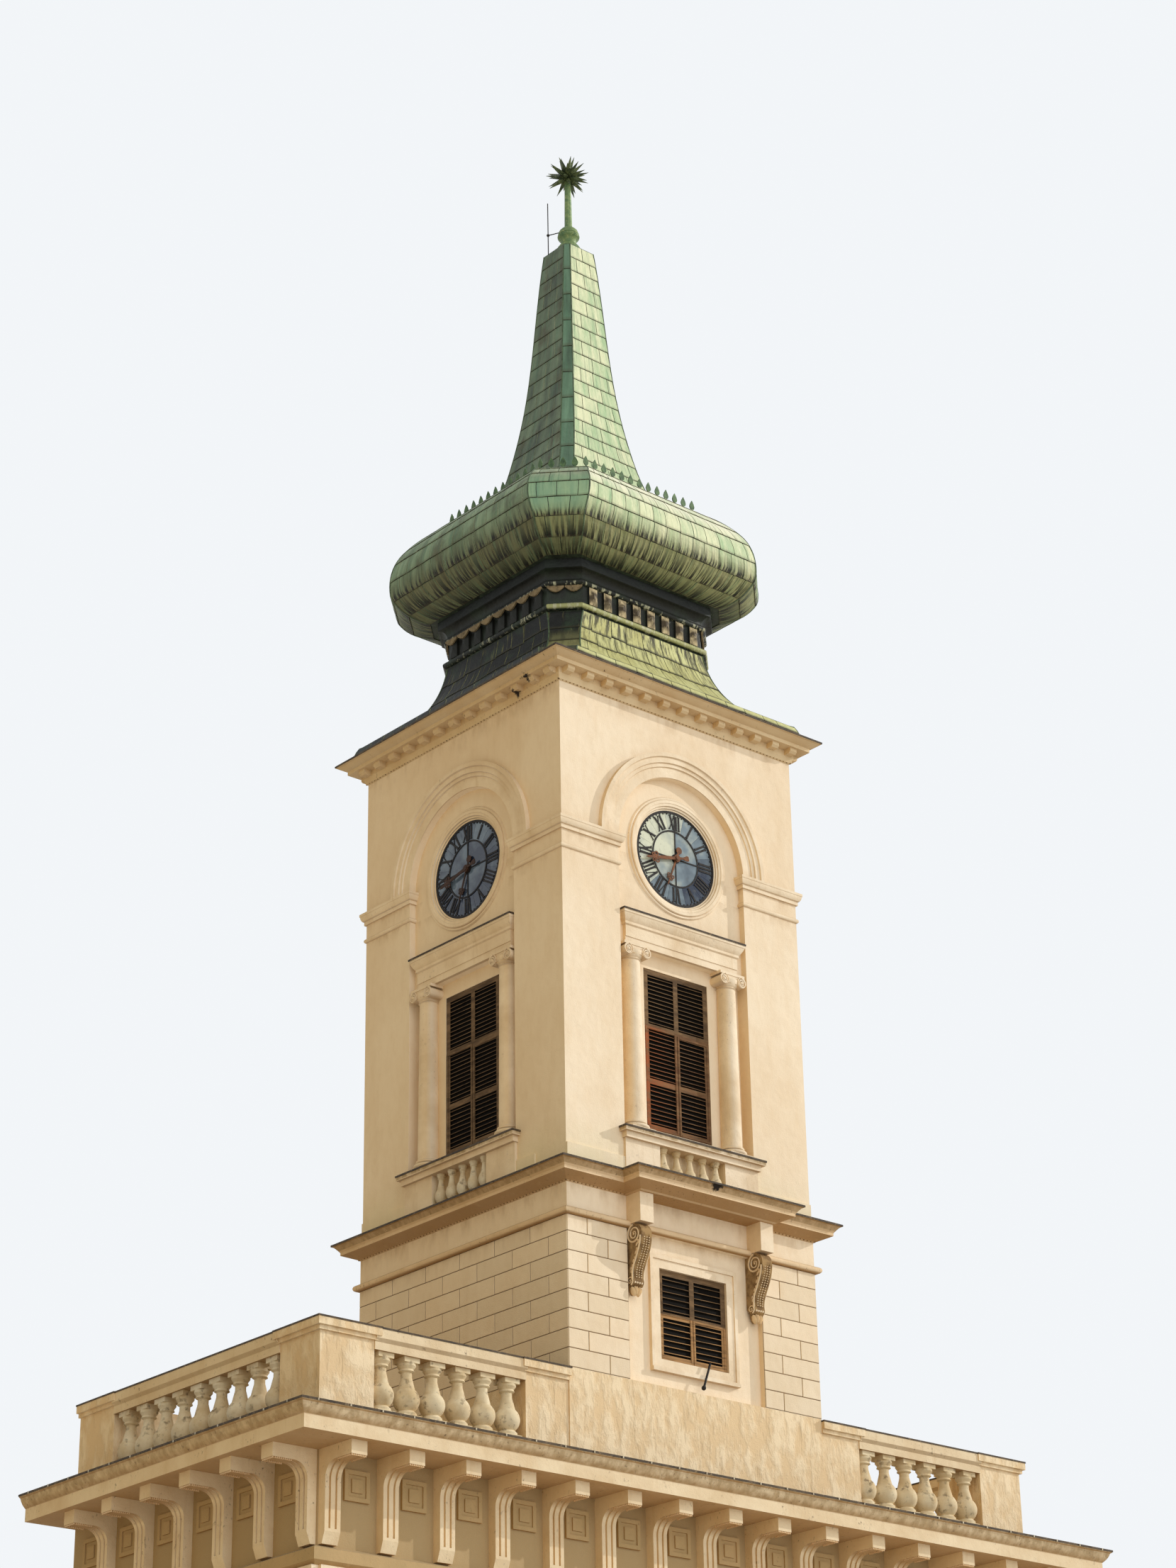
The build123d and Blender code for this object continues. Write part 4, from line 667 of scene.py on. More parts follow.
for paintName, members in nodePaints.items():
    for member in members:
        giveMaterial(nodes[member].data, paintName)
print("materials made:", len(paints), "and given to", len(nodes), "CAD pieces")


# Shells collect closed solids with their attributes before they become a mesh
def newShell():
    return {"points": [], "faces": [], "pieceTone": [], "along": [], "run": []}


def addSolid(shell, points, faces, pieceTone=0.5, along=None, run=None, turn=None):
    start = len(shell["points"])
    shell["points"] += [turn @ Vector(p) if turn else Vector(p) for p in points]
    shell["faces"] += [[start + i for i in face] for face in faces]
    shell["pieceTone"] += [pieceTone] * len(faces)
    shell["along"] += along or [0.5] * len(points)
    shell["run"] += run or [tuple(p) for p in points]


def finishMesh(mesh, work, smoothUnder):
    # normals put right, and edges below the angle made smooth
    bmesh.ops.recalc_face_normals(work, faces=work.faces)
    work.to_mesh(mesh)
    work.free()
    if smoothUnder:
        mesh.shade_smooth()
        mesh.set_sharp_from_angle(angle=math.radians(smoothUnder))
    return mesh


def shellMesh(name, shell, smoothUnder=None):
    mesh = plainMesh(name, [tuple(p) for p in shell["points"]], shell["faces"])
    flatRun = [value for place in shell["run"] for value in place]
    for label, kind, domain, values, field in (
            ("pieceTone", "FLOAT", "FACE", shell["pieceTone"], "value"),
            ("along", "FLOAT", "POINT", shell["along"], "value"),
            ("run", "FLOAT_VECTOR", "POINT", flatRun, "vector")):
        mesh.attributes.new(label, kind, domain).data.foreach_set(field, values)
    work = bmesh.new()
    work.from_mesh(mesh)
    return finishMesh(mesh, work, smoothUnder)


def addPiece(name, mesh, paint):
    giveMaterial(mesh, paint)
    piece = intoScene(name, mesh)
    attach(piece, "tower")


def addShell(name, shell, paint, smoothUnder=None):
    addPiece(name, shellMesh(name, shell, smoothUnder), paint)


def addJoined(name, placed, paint, smoothUnder=None):
    # (mesh, matrix) pairs in one mesh
    work = bmesh.new()
    for mesh, matrix in placed:
        copy = mesh.copy()
        copy.transform(matrix)
        work.from_mesh(copy)
        bpy.data.meshes.remove(copy)
    addPiece(name, finishMesh(bpy.data.meshes.new(name), work, smoothUnder), paint)


def allRound(mesh, matrix=Matrix.Identity(4)):
    return [(mesh, turned(turn) @ matrix) for turn in sideTurns.values()]


def ringFaces(rings, size, closed=False):
    # faces between successive rings of points, and the two ends of an open run
    faces = []
    for ring in range(rings if closed else rings - 1):
        a, b = ring * size, (ring + 1) % rings * size
        faces += [[a + k, a + (k + 1) % size, b + (k + 1) % size, b + k]
                  for k in range(size)]
    if not closed:
        faces += [list(range(size))[::-1], list(range((rings - 1) * size, rings * size))]
    return faces


def circle(sides, shift=0.0):
    angles = [math.tau * (k + shift) / sides for k in range(sides)]
    return [(math.cos(angle), math.sin(angle)) for angle in angles]


def rectangle(x0, x1, z0, z1):
    return [(x0, z0), (x1, z0), (x1, z1), (x0, z1)]


def prism(shell, outline, near, far, turn=None, pieceTone=0.5, bevel=0.0):
    # an outline of (across, up), drawn on the front, from depth y=far to y=near; bevel pulls
    # the face in
    count = len(outline)
    middle = [sum(p[axis] for p in outline) / count for axis in (0, 1)]
    points = [(x, far, z) for x, z in outline]
    if bevel:
        points += [(x, near + bevel, z) for x, z in outline]
    for x, z in outline:
        dx, dz = x - middle[0], z - middle[1]
        points.append((x - math.copysign(min(bevel, abs(dx)), dx), near,
                       z - math.copysign(min(bevel, abs(dz)), dz)))
    addSolid(shell, points, ringFaces(len(points) // count, count), pieceTone, turn=turn)


def sweep(shell, section, path, closed=True, turn=None):
    # a closed section of (out, up) carried round a plan path with the outside on its right
    points = []
    count = len(path)
    for i, place in enumerate(path):
        here = Vector(place[:2])
        ways = []
        if closed or i:
            ways.append((here - Vector(path[i - 1][:2])).normalized())
        if closed or i < count - 1:
            ways.append((Vector(path[(i + 1) % count][:2]) - here).normalized())
        outs = [Vector((w.y, -w.x)) for w in ways]
        mitre = outs[0] if len(outs) == 1 else (outs[0] + outs[1]) / (1 + outs[0].dot(outs[1]))
        points += [(here.x + mitre.x * out, here.y + mitre.y * out, place[2] + up)
                   for out, up in section]
    addSolid(shell, points, ringFaces(count, len(section), closed), turn=turn)


def tube(shell, spine, radii, sideways, sides=6, pieceTone=0.5, turn=None):
    # a round bar along a spine; sideways(way, here) is where its first side lies
    last = len(spine) - 1
    points = []
    for i, here in enumerate(spine):
        way = (spine[min(i + 1, last)] - spine[max(i - 1, 0)]).normalized()
        first = sideways(way, here)
        second = way.cross(first)
        points += [here + (first * c + second * s) * radii[i] for c, s in circle(sides)]
    addSolid(shell, points, ringFaces(len(spine), sides), pieceTone, turn=turn)


# Geometry Nodes trees that repeat a part
def makeRepeater(name, wanted, layOut):
    # layOut gives the places of the copies and how each is turned
    tree = bpy.data.node_groups.new(name, "GeometryNodeTree")
    wanted = dict({"Part": "Object", "Wobble": "Float", "Seed": "Int", "Finish": "Material"},
                  **wanted)
    for label, kind in wanted.items():
        tree.interface.new_socket(name=label, in_out="INPUT", socket_type="NodeSocket" + kind)
    tree.interface.new_socket(name="Geometry", in_out="OUTPUT",
                              socket_type="NodeSocketGeometry")
    given = tree.nodes.new("NodeGroupInput").outputs
    places, turn = layOut(tree, given)
    low, high = (addNode(tree, "ShaderNodeVectorMath", {
        0: (end, end, end), "Scale": given["Wobble"]}, operation="SCALE") for end in (-1, 1))
    loose = addNode(tree, "FunctionNodeRandomValue", {
        "Seed": given["Seed"], 0: low.outputs[0], 1: high.outputs[0]},
        data_type="FLOAT_VECTOR")
    shaken = addNode(tree, "ShaderNodeVectorMath", {0: turn, 1: loose.outputs[0]},
                     operation="ADD")
    copies = addNode(tree, "GeometryNodeInstanceOnPoints", {
        "Points": places, "Instance": partGeometry(tree, given["Part"]),
        "Rotation": shaken.outputs[0]})
    real = addNode(tree, "GeometryNodeRealizeInstances", {0: copies.outputs[0]})
    painted = addNode(tree, "GeometryNodeSetMaterial", {
        "Geometry": real.outputs[0], "Material": given["Finish"]})
    addNode(tree, "NodeGroupOutput", {0: painted.outputs[0]})
    return tree


def partGeometry(tree, part):
    return addNode(tree, "GeometryNodeObjectInfo", {"Object": part}).outputs["Geometry"]


def layLadder(tree, given):
    line = addNode(tree, "GeometryNodeMeshLine", {
        "Count": given["Count"], "Start Location": given["Start"], "Offset": given["Step"]},
        mode="OFFSET")
    return line.outputs[0], given["Turn"]


def layRing(tree, given):
    # round a circle, each copy facing the middle
    ring = addNode(tree, "GeometryNodeMeshCircle", {
        "Vertices": given["Count"], "Radius": given["Radius"]})
    step = addNode(tree, "ShaderNodeMath", {0: math.tau, 1: given["Count"]},
                   operation="DIVIDE").outputs[0]
    angle = Field(tree.nodes.new("GeometryNodeInputIndex").outputs[0]) * step
    return ring.outputs[0], addNode(tree, "ShaderNodeCombineXYZ", {2: angle}).outputs[0]


def layPath(tree, given):
    # along a drawn path, each copy turned to follow it
    curve = addNode(tree, "GeometryNodeMeshToCurve", {
        "Mesh": partGeometry(tree, given["Path"])})
    points = addNode(tree, "GeometryNodeCurveToPoints", {
        "Curve": curve.outputs[0], "Length": given["Spacing"]}, mode="LENGTH")
    turn = addNode(tree, "FunctionNodeRotationToEuler", {0: points.outputs["Rotation"]})
    return points.outputs[0], turn.outputs[0]


trees = {
    "ladder": makeRepeater("ladderOfSlats", {"Count": "Int", "Start": "Vector",
                                             "Step": "Vector", "Turn": "Vector"}, layLadder),
    "ring": makeRepeater("ringOfTeeth", {"Count": "Int", "Radius": "Float"}, layRing),
    "path": makeRepeater("partsAlongPath", {"Path": "Object", "Spacing": "Float"}, layPath),
}


def grown(treeName, part, paint, settings, pathPoints=None):
    # the tree's result as a plain mesh
    helpers = [intoScene("repeatedPart", part)]
    values = dict(settings, Part=helpers[0], Finish=paints[paint])
    if pathPoints:
        line = bpy.data.meshes.new("pathLine")
        line.from_pydata(pathPoints, [(i, i + 1) for i in range(len(pathPoints) - 1)], [])
        helpers.append(intoScene("pathLine", line))
        values["Path"] = helpers[1]
    carrier = intoScene("carrier", bpy.data.meshes.new("carrier"))
    modifier = carrier.modifiers.new("repeat", "NODES")
    modifier.node_group = trees[treeName]
    for item in trees[treeName].interface.items_tree:
        if item.in_out == "INPUT" and item.name in values:
            modifier[item.identifier] = values[item.name]
    evaluated = carrier.evaluated_get(bpy.context.evaluated_depsgraph_get())
    mesh = bpy.data.meshes.new_from_object(evaluated)
    carrier.modifiers.remove(modifier)
    for helper in helpers + [carrier]:
        bpy.data.objects.remove(helper)
    return mesh


print("repeating trees ready:", len(trees))


# Copper sheets of the three roofs, laid on the CAD surfaces
def rayAt(nodeName):
    # gives where a ray from start along way meets a CAD piece
    mesh = nodes[nodeName].data
    surface = BVHTree.FromPolygons([v.co for v in mesh.vertices],
                                   [p.vertices for p in mesh.polygons])
    return lambda start, way: surface.ray_cast(Vector(start), Vector(way).normalized())[0]


def readProfile(nodeName, low, high, count=120):
    # rows of (run along the slope, height, half width, half diagonal)
    meet = rayAt(nodeName)
    rows, run = [], 0.0
    for i in range(count + 1):
        z = low + (high - low) * i / count
        flat = meet((0.013, -9.0, z), (0, 1, 0))
        corner = meet((-6.0, -6.0, z), (1, 1, 0))
        if flat is None or corner is None:
            continue
        if rows:
            run += math.hypot(z - rows[-1][1], -flat.y - rows[-1][2])
        rows.append((run, z, -flat.y, corner.xy.length))
    return rows


def profileAt(rows, run):
    run = min(max(run, 0.0), rows[-1][0])
    for low, high in zip(rows, rows[1:]):
        if high[0] >= run:
            share = (run - low[0]) / max(high[0] - low[0], 1e-9)
            return [a + (b - a) * share for a, b in zip(low, high)]
    return list(rows[-1])


def roofPoint(rows, kind, run, across):
    # a place and the half width there; across is -1 to 1 over a main face or a corner cut
    _, z, half, diagonal = profileAt(rows, run)
    flatHalf = math.sqrt(2) * diagonal - half
    if kind == "face":
        return Vector((across * flatHalf, -half, z)), flatHalf
    cutHalf = (half - flatHalf) / math.sqrt(2)
    outward, sideways = Vector((-1, -1, 0)).normalized(), Vector((1, -1, 0)).normalized()
    return outward * diagonal + sideways * (across * cutHalf) + Vector((0, 0, z)), cutHalf


def addSheet(shell, rows, kind, low, high, left, right, side, settings, chance):
    # one sheet as a closed plate; left and right are -1 to 1, low and high are runs
    across, up = settings["across"], settings["up"]
    _, halfWidth = roofPoint(rows, kind, (low + high) / 2, 0.0)
    gap = settings["gap"] / 2
    left, right = left + gap / halfWidth, right - gap / halfWidth
    low, high = low + gap * settings["lap"], high - gap
    bulge = chance.uniform(0.3, 1.0) * settings["pillow"]
    skew = chance.uniform(-1, 1) * settings["skew"]
    upStep, sideStep = settings["probes"]
    runAcross, runSide, runCut = settings["runShifts"]
    top, base, along, run = [], [], [], []
    for j in range(up + 1):
        for i in range(across + 1):
            u = left + (right - left) * i / across
            shift = skew * (i / across - 0.5) * (1 - j / up)
            s = low + shift + (high - low - shift) * j / up
            here, beyond, before, beside = (
                roofPoint(rows, kind, s + ahead, u + aside)[0]
                for ahead, aside in ((0, 0), (upStep, 0), (-upStep, 0), (0, sideStep)))
            normal = (beside - here).cross(beyond - before).normalized()
            lift = settings["liftLow"] + (settings["liftHigh"] - settings["liftLow"]) * j / up
            lift += (bulge * math.sin(math.pi * i / across)
                     * math.sin(math.pi * min(1, j / up + 0.1)))
            top.append(here + normal * lift)
            base.append(here - normal * settings["sink"])
            along.append(j / up)
            run.append((u * halfWidth + side * runAcross, s,
                        side * runSide + (runCut if kind == "cut" else 0.0)))
    size, wide = len(top), across + 1
    faces = []
    for j in range(up):
        for i in range(across):
            a = j * wide + i
            faces.append([a, a + 1, a + wide + 1, a + wide])
            faces.append([size + a, size + a + wide, size + a + wide + 1, size + a + 1])
    rim = list(range(wide)) + [j * wide + across for j in range(1, up + 1)]
    rim += [up * wide + i for i in range(across - 1, -1, -1)]
    rim += [j * wide for j in range(up - 1, 0, -1)]
    for a, b in zip(rim, rim[1:] + rim[:1]):
        faces.append([b, a, size + a, size + b])
    addSolid(shell, top + base, faces, chance.random(), along + along, run + run, turned(side))


def laySheets(rows, settings):
    shell = newShell()
    chance = random.Random(settings["seed"])
    for side in sideTurns.values():
        for kind in ("face", "cut"):
            courses, wanted = settings[kind + "Courses"], settings[kind + "Width"]
            edges = [rows[-1][0] * i / courses for i in range(courses + 1)]
            for index, (low, high) in enumerate(zip(edges, edges[1:])):
                _, halfWidth = roofPoint(rows, kind, (low + high) / 2, 0.0)
                count = max(2 if kind == "face" else 1, round(2 * halfWidth / wanted))
                cuts = [-1 + 2 * i / count for i in range(count + 1)]
                if index % 2 and count > 1:
                    cuts = [-1] + [c + 1 / count for c in cuts[:-1]] + [1]
                jitter = settings["jitter"] / count
                cuts[1:-1] = [c + chance.uniform(-jitter, jitter) for c in cuts[1:-1]]
                for left, right in zip(cuts, cuts[1:]):
                    rag = chance.uniform(0, settings["ragged"]) if index else 0.0
                    addSheet(shell, rows, kind, max(low - rag, 0.0), high, left, right, side,
                             settings, chance)
    return shell


def edgeRolls(rows, settings):
    # standing seams down both edges of every corner cut
    shell = newShell()
    steps = settings["rollSteps"]

    def outOf(here):
        return Vector((here.x, here.y, 0)).normalized()

    for side in sideTurns.values():
        for end in (-1, 1):
            edge = [roofPoint(rows, "cut", rows[-1][0] * i / steps, end)[0]
                    for i in range(steps + 1)]
            spine = [here + outOf(here) * settings["rollLift"] for here in edge]
            tube(shell, spine, [settings["roll"]] * len(spine),
                 lambda way, here: way.cross(outOf(here)).normalized(), 6, 0.2, turned(side))
    return shell


sheetSettings = {"across": 2, "gap": 0.012, "lap": 0.3, "sink": 0.004, "ragged": 0.0,
                 "probes": (0.02, 0.05), "runShifts": (0.13, 0.37, 3.0), "rollSteps": 30,
                 "rollLift": 0.004}
roofSettings = {
    "spire": dict(sheetSettings, low=30.17, high=35.85, paint="copper", seed=4, up=2,
                  liftLow=0.013, liftHigh=0.005, pillow=0.004, skew=0.012, jitter=0.12,
                  faceCourses=19, faceWidth=0.36, cutCourses=10, cutWidth=9.0, roll=0.013),
    "bulb": dict(sheetSettings, low=28.36, high=30.15, paint="copper", seed=7, up=5,
                 liftLow=0.014, liftHigh=0.004, pillow=0.006, skew=0.02, jitter=0.2,
                 faceCourses=7, faceWidth=0.3, cutCourses=7, cutWidth=0.33, roll=0.015),
    "skirt": dict(sheetSettings, low=25.90, high=27.45, paint="skirt", seed=11, up=3,
                  liftLow=0.012, liftHigh=0.002, pillow=0.004, skew=0.03, jitter=0.3,
                  ragged=0.05, faceCourses=6, faceWidth=0.38, cutCourses=6, cutWidth=0.4,
                  roll=0.014),
}
for title, wanted in roofSettings.items():
    rows = readProfile(title + "_roof", wanted["low"], wanted["high"])
    sheets = laySheets(rows, wanted)
    addShell(title + "Sheets", sheets, wanted["paint"], 35)
    addShell(title + "EdgeRolls", edgeRolls(rows, wanted), "roll", 50)
    print(title, "sheets laid over", round(rows[-1][0], 2), "m of slope,",
          len(sheets["faces"]), "faces")


# Sheet metal over the edges of the cornices, caps and sills
flashingSettings = {
    "thick": 0.006, "drip": 0.022, "over": 0.012, "lap": 0.002,
    "rings": (  # depth, rise, height and the left half of the edge in plan
        (0.10, 0.0, 25.861, ((-2.896, 2.896), (-2.896, -2.896))),
        (0.30, 0.014, 17.466, ((-2.85, 2.85), (-2.85, -2.85), (-1.696, -2.85),
                               (-1.696, -3.20)))),
    "main": (0.92, 0.076, 12.921, ((-7.9, 3.475), (-7.9, -3.475))),
    "everySide": ((0.06, 0.001, 18.276, ((-1.44, -2.30), (-1.44, -2.658))),
                  (0.05, 0.001, 21.906, ((-1.278, -2.42), (-1.278, -2.553)))),
}


def flash(shell, edge, closed, turn=None):
    # a plate that climbs by rise over its depth, turned down over the edge
    depth, rise, z, left = edge
    over, drip, thick, lap = (flashingSettings[key] for key in ("over", "drip", "thick", "lap"))
    section = [(over, -drip), (over, thick), (-depth, rise + thick), (-depth, rise),
               (lap, 0.0), (lap, -drip)]
    path = [(x, y, z) for x, y in left] + [(-x, y, z) for x, y in reversed(left)]
    sweep(shell, section, path, closed, turn)


def makeFlashing():
    shell = newShell()
    for edge in flashingSettings["rings"]:
        flash(shell, edge, True)
    flash(shell, flashingSettings["main"], False)
    for turn in sideTurns.values():
        for edge in flashingSettings["everySide"]:
            flash(shell, edge, False, turned(turn))
    return shell


addShell("edgeFlashing", makeFlashing(), "flashing")


# Thin lead caps over pedestals and rails of the parapet
capSettings = {
    "top": 14.381, "rise": 0.016, "over": 0.008, "drip": 0.02, "thick": 0.004, "slope": 0.12,
    "rightHalf": ((2.52, 3.40, -2.58, -1.96), (5.925, 7.005, -2.58, -1.5),
                  (3.40, 5.925, -2.56, -2.18), (6.605, 6.985, -1.5, 2.475),
                  (6.395, 7.005, 2.475, 3.475)),
}


def makeCaps():
    s = capSettings
    shell = newShell()
    for sign in (-1, 1):
        for near, far, y0, y1 in s["rightHalf"]:
            x0, x1 = sorted((sign * near, sign * far))
            points = []
            for inset, rise in ((-s["over"], -s["drip"]), (-s["over"], s["thick"]),
                                (s["slope"], s["rise"])):
                points += [(x, y, s["top"] + rise) for x, y in rectangle(
                    x0 + inset, x1 - inset, y0 + inset, y1 - inset)]
            addSolid(shell, points, ringFaces(3, 4))
    return shell


addShell("parapetCaps", makeCaps(), "flashing")
print("flashing and caps made")


# Raised blocks of the lower stage, with dark joints behind them
blockSettings = {"top": 16.695, "bottom": 14.405, "firstJoint": 16.440, "course": 0.292,
                 "face": -2.52, "lift": 0.010, "sink": 0.01, "bevel": 0.004, "joint": 0.013,
                 "bedLift": 0.0015, "pitch": 0.8389, "panel": 1.354, "header": 0.38,
                 "stretcher": 0.78, "lowest": 0.1}


def blockRows():
    s = blockSettings
    edges = [s["top"], s["firstJoint"]]
    while edges[-1] - s["course"] > s["bottom"] + s["lowest"]:
        edges.append(edges[-1] - s["course"])
    return edges + [s["bottom"]]


def blockJoints(side, index, half):
    # where the upright joints of a course stand; the front has a window between two strips
    s = blockSettings
    even = index % 2 == 0
    if side == "front":
        inner = s["header"] if even else s["stretcher"]
        return [[-half, -half + inner, -s["panel"]], [s["panel"], half - inner, half]]
    whole = even if side != "back" else not even
    places = [-half] + ([] if whole else [-half + s["pitch"] / 2])
    while places[-1] + s["pitch"] < half - s["lowest"]:
        places.append(places[-1] + s["pitch"])
    return [places + [half]]


def makeBlocks():
    s = blockSettings
    blocks, bed = newShell(), newShell()
    chance = random.Random(3)
    half, gap, back = -s["face"], s["joint"] / 2, s["face"] + s["sink"]
    for side, turn in sideTurns.items():
        strips = [(-half, half)]
        if side == "front":
            strips = [(-half, -s["panel"]), (s["panel"], half)]
        for x0, x1 in strips:
            prism(bed, rectangle(x0, x1, s["bottom"], s["top"]), s["face"] - s["bedLift"],
                  back, turned(turn))
        edges = blockRows()
        for index, (high, low) in enumerate(zip(edges, edges[1:])):
            for line in blockJoints(side, index, half):
                for x0, x1 in zip(line, line[1:]):
                    left = x0 + (0 if abs(x0 + half) < 1e-6 else gap)
                    right = x1 - (0 if abs(x1 - half) < 1e-6 else gap)
                    prism(blocks, rectangle(left, right, low + gap, high - gap),
                          s["face"] - s["lift"], back, turned(turn), chance.random(),
                          s["bevel"])
    return blocks, bed


blocks, bed = makeBlocks()
addShell("lowerBlocks", blocks, "blocks")
addShell("blockJoints", bed, "joint")
print("rustication made:", len(blocks["faces"]), "faces")


# Louvre slats of the shutters
slatSettings = {
    "thick": 0.010, "deep": 0.038, "tilt": 36.0, "wobble": 0.012, "rail": 0.09,
    "midRail": 0.045,
    "belfry": {"low": 18.475, "high": 21.125, "marks": (0.0, 0.3, 0.64, 1.0), "reach": 0.58,
               "plane": -2.2495, "pitch": 0.067, "seeds": (5, 6, 7)},
    "lowWindow": {"low": 14.83, "high": 16.22, "marks": (0.0, 0.5, 1.0), "reach": 0.588,
                  "plane": -2.407, "pitch": 0.082, "seeds": (9, 9)},
}


def slatMesh(length):
    # a thin board with rounded edges, its length on x
    radius, flat = slatSettings["thick"] / 2, slatSettings["deep"] / 2 - slatSettings["thick"] / 2
    outline = [(math.copysign(flat, c) + c * radius, s * radius) for c, s in circle(8, 0.5)]
    points = [(x, y, z) for x in (-length / 2, length / 2) for y, z in outline]
    return plainMesh("slat", points, ringFaces(2, 8))


def slatBays(window):
    s = slatSettings
    rise = window["high"] - window["low"]
    marks = [window["low"] + share * rise for share in window["marks"]]
    meshes = []
    for x0, x1 in ((-window["reach"], -s["midRail"]), (s["midRail"], window["reach"])):
        for index, (z0, z1) in enumerate(zip(marks, marks[1:])):
            z0 += s["rail"] if index == 0 else s["midRail"]
            z1 -= s["rail"] if index == len(marks) - 2 else s["midRail"]
            count = max(1, int((z1 - z0) / window["pitch"]))
            step = (z1 - z0) / count
            meshes.append(grown("ladder", slatMesh(x1 - x0), "timber", {
                "Count": count, "Start": ((x0 + x1) / 2, window["plane"], z0 + step / 2),
                "Step": (0.0, 0.0, step), "Turn": (math.radians(s["tilt"]), 0.0, 0.0),
                "Wobble": s["wobble"], "Seed": window["seeds"][index]}))
    return meshes


placed = [pair for mesh in slatBays(slatSettings["belfry"]) for pair in allRound(mesh)]
addJoined("belfrySlats", placed, "timber")
placed = [(mesh, Matrix.Identity(4)) for mesh in slatBays(slatSettings["lowWindow"])]
addJoined("lowWindowSlats", placed, "timber")
print("shutter slats made")


# Dial: panes, teeth of the minute ring and Roman numerals
dialSettings = {
    "centre": 23.125, "glass": -2.3495, "paneFace": -2.3535, "numeralFace": -2.3655,
    "ringLow": 0.505, "ringHigh": 0.752, "thickStroke": 0.034, "thinStroke": 0.013,
    "serif": 0.011, "thickSerif": 0.016, "thinSerif": 0.022, "letterGap": 0.012,
    "letterWidths": {"I": 0.046, "V": 0.108, "X": 0.112}, "strokeStep": 0.0006,
    "frontTones": (0.5, -0.38, 0.25), "otherTones": (0.06, 0.0, 0.08),
    "innerFront": (0.66, 0.45), "innerOther": 0.16, "toneSpread": 0.12,
    "teeth": 60, "tooth": (0.020, 0.022), "toothRoot": 0.004, "toothThick": 0.012,
    "toothRing": 0.781, "leadShare": 0.006, "paneStep": 0.0003, "paneRoot": 0.004,
    "outerPanes": {"count": 12, "low": 0.485, "high": 0.782, "steps": 4,
                   "start": math.tau / 24},
    "innerPanes": {"count": 4, "low": 0.075, "high": 0.464, "steps": 10, "start": 0.0},
}
numerals = ("XII", "I", "II", "III", "IIII", "V", "VI", "VII", "VIII", "IX", "X", "XI")


def numeralStrokes(text):
    # strokes as outlines of (across, up), centred across, from 0 up to the numeral's height
    s = dialSettings
    height = s["ringHigh"] - s["ringLow"]
    thick, thin = s["thickStroke"], s["thinStroke"]
    total = sum(s["letterWidths"][c] for c in text) + s["letterGap"] * (len(text) - 1)
    x = -total / 2
    strokes = []

    def bar(foot, top, width):
        strokes.append([(foot - width / 2, 0.0), (foot + width / 2, 0.0),
                        (top + width / 2, height), (top - width / 2, height)])

    def serif(middle, end, width):
        low = end * (height - s["serif"])
        strokes.append(rectangle(middle - width / 2, middle + width / 2, low,
                                 low + s["serif"]))

    for letter in text:
        wide = s["letterWidths"][letter]
        middle, thickTop, thinTop = x + wide / 2, x + thick / 2, x + wide - thin / 2
        if letter == "I":
            bar(middle, middle, thick)
            serif(middle, 0, wide)
            serif(middle, 1, wide)
        else:
            pointed = letter == "V"
            thickFoot = middle if pointed else x + wide - thick / 2
            thinFoot = middle if pointed else x + thin / 2
            bar(thickFoot, thickTop, thick)
            bar(thinFoot, thinTop, thin)
            for end in (1,) if pointed else (0, 1):
                serif(thickTop if end else thickFoot, end, thick + s["thickSerif"])
                serif(thinTop if end else thinFoot, end, thin + s["thinSerif"])
        x += wide + s["letterGap"]
    return strokes


def makeNumerals():
    s = dialSettings
    shell = newShell()
    for turn in sideTurns.values():
        for hour, text in enumerate(numerals):
            angle = -math.tau * hour / 12
            c, si = math.cos(angle), math.sin(angle)
            for number, stroke in enumerate(numeralStrokes(text)):
                polar = [(across, s["ringLow"] + up) for across, up in stroke]
                outline = [(across * c - radius * si, s["centre"] + across * si + radius * c)
                           for across, radius in polar]
                prism(shell, outline, s["numeralFace"] + s["strokeStep"] * (number % 5),
                      s["paneFace"] + 0.001, turned(turn))
    return shell


def makePaneShell():
    # on the front the panes catch the sky, more so to the upper left
    s = dialSettings
    shell = newShell()
    chance = random.Random(12)
    for side, turn in sideTurns.items():
        for ring in (s["outerPanes"], s["innerPanes"]):
            wide = math.tau / ring["count"]
            for index in range(ring["count"]):
                start = ring["start"] + wide * index
                arc = [start + wide * (s["leadShare"] + (1 - 2 * s["leadShare"]) * i
                                       / ring["steps"]) for i in range(ring["steps"] + 1)]
                outline = [(radius * math.sin(a), s["centre"] + radius * math.cos(a))
                           for radius, angles in ((ring["low"], arc), (ring["high"], arc[::-1]))
                           for a in angles]
                middle = start + wide / 2
                base, across, up = s["frontTones" if side == "front" else "otherTones"]
                shift = across * math.sin(middle) + up * math.cos(middle)
                value = base + shift
                if ring is s["innerPanes"]:
                    # painted reflection: the inner front panes are brighter
                    paintedHighlight, share = s["innerFront"]
                    value = paintedHighlight + shift * share if side == "front" else s["innerOther"]
                value += chance.uniform(-s["toneSpread"], s["toneSpread"])
                prism(shell, outline, s["paneFace"] - s["paneStep"] * (index % 3),
                      s["glass"] + s["paneRoot"], turned(turn), value)
    return shell


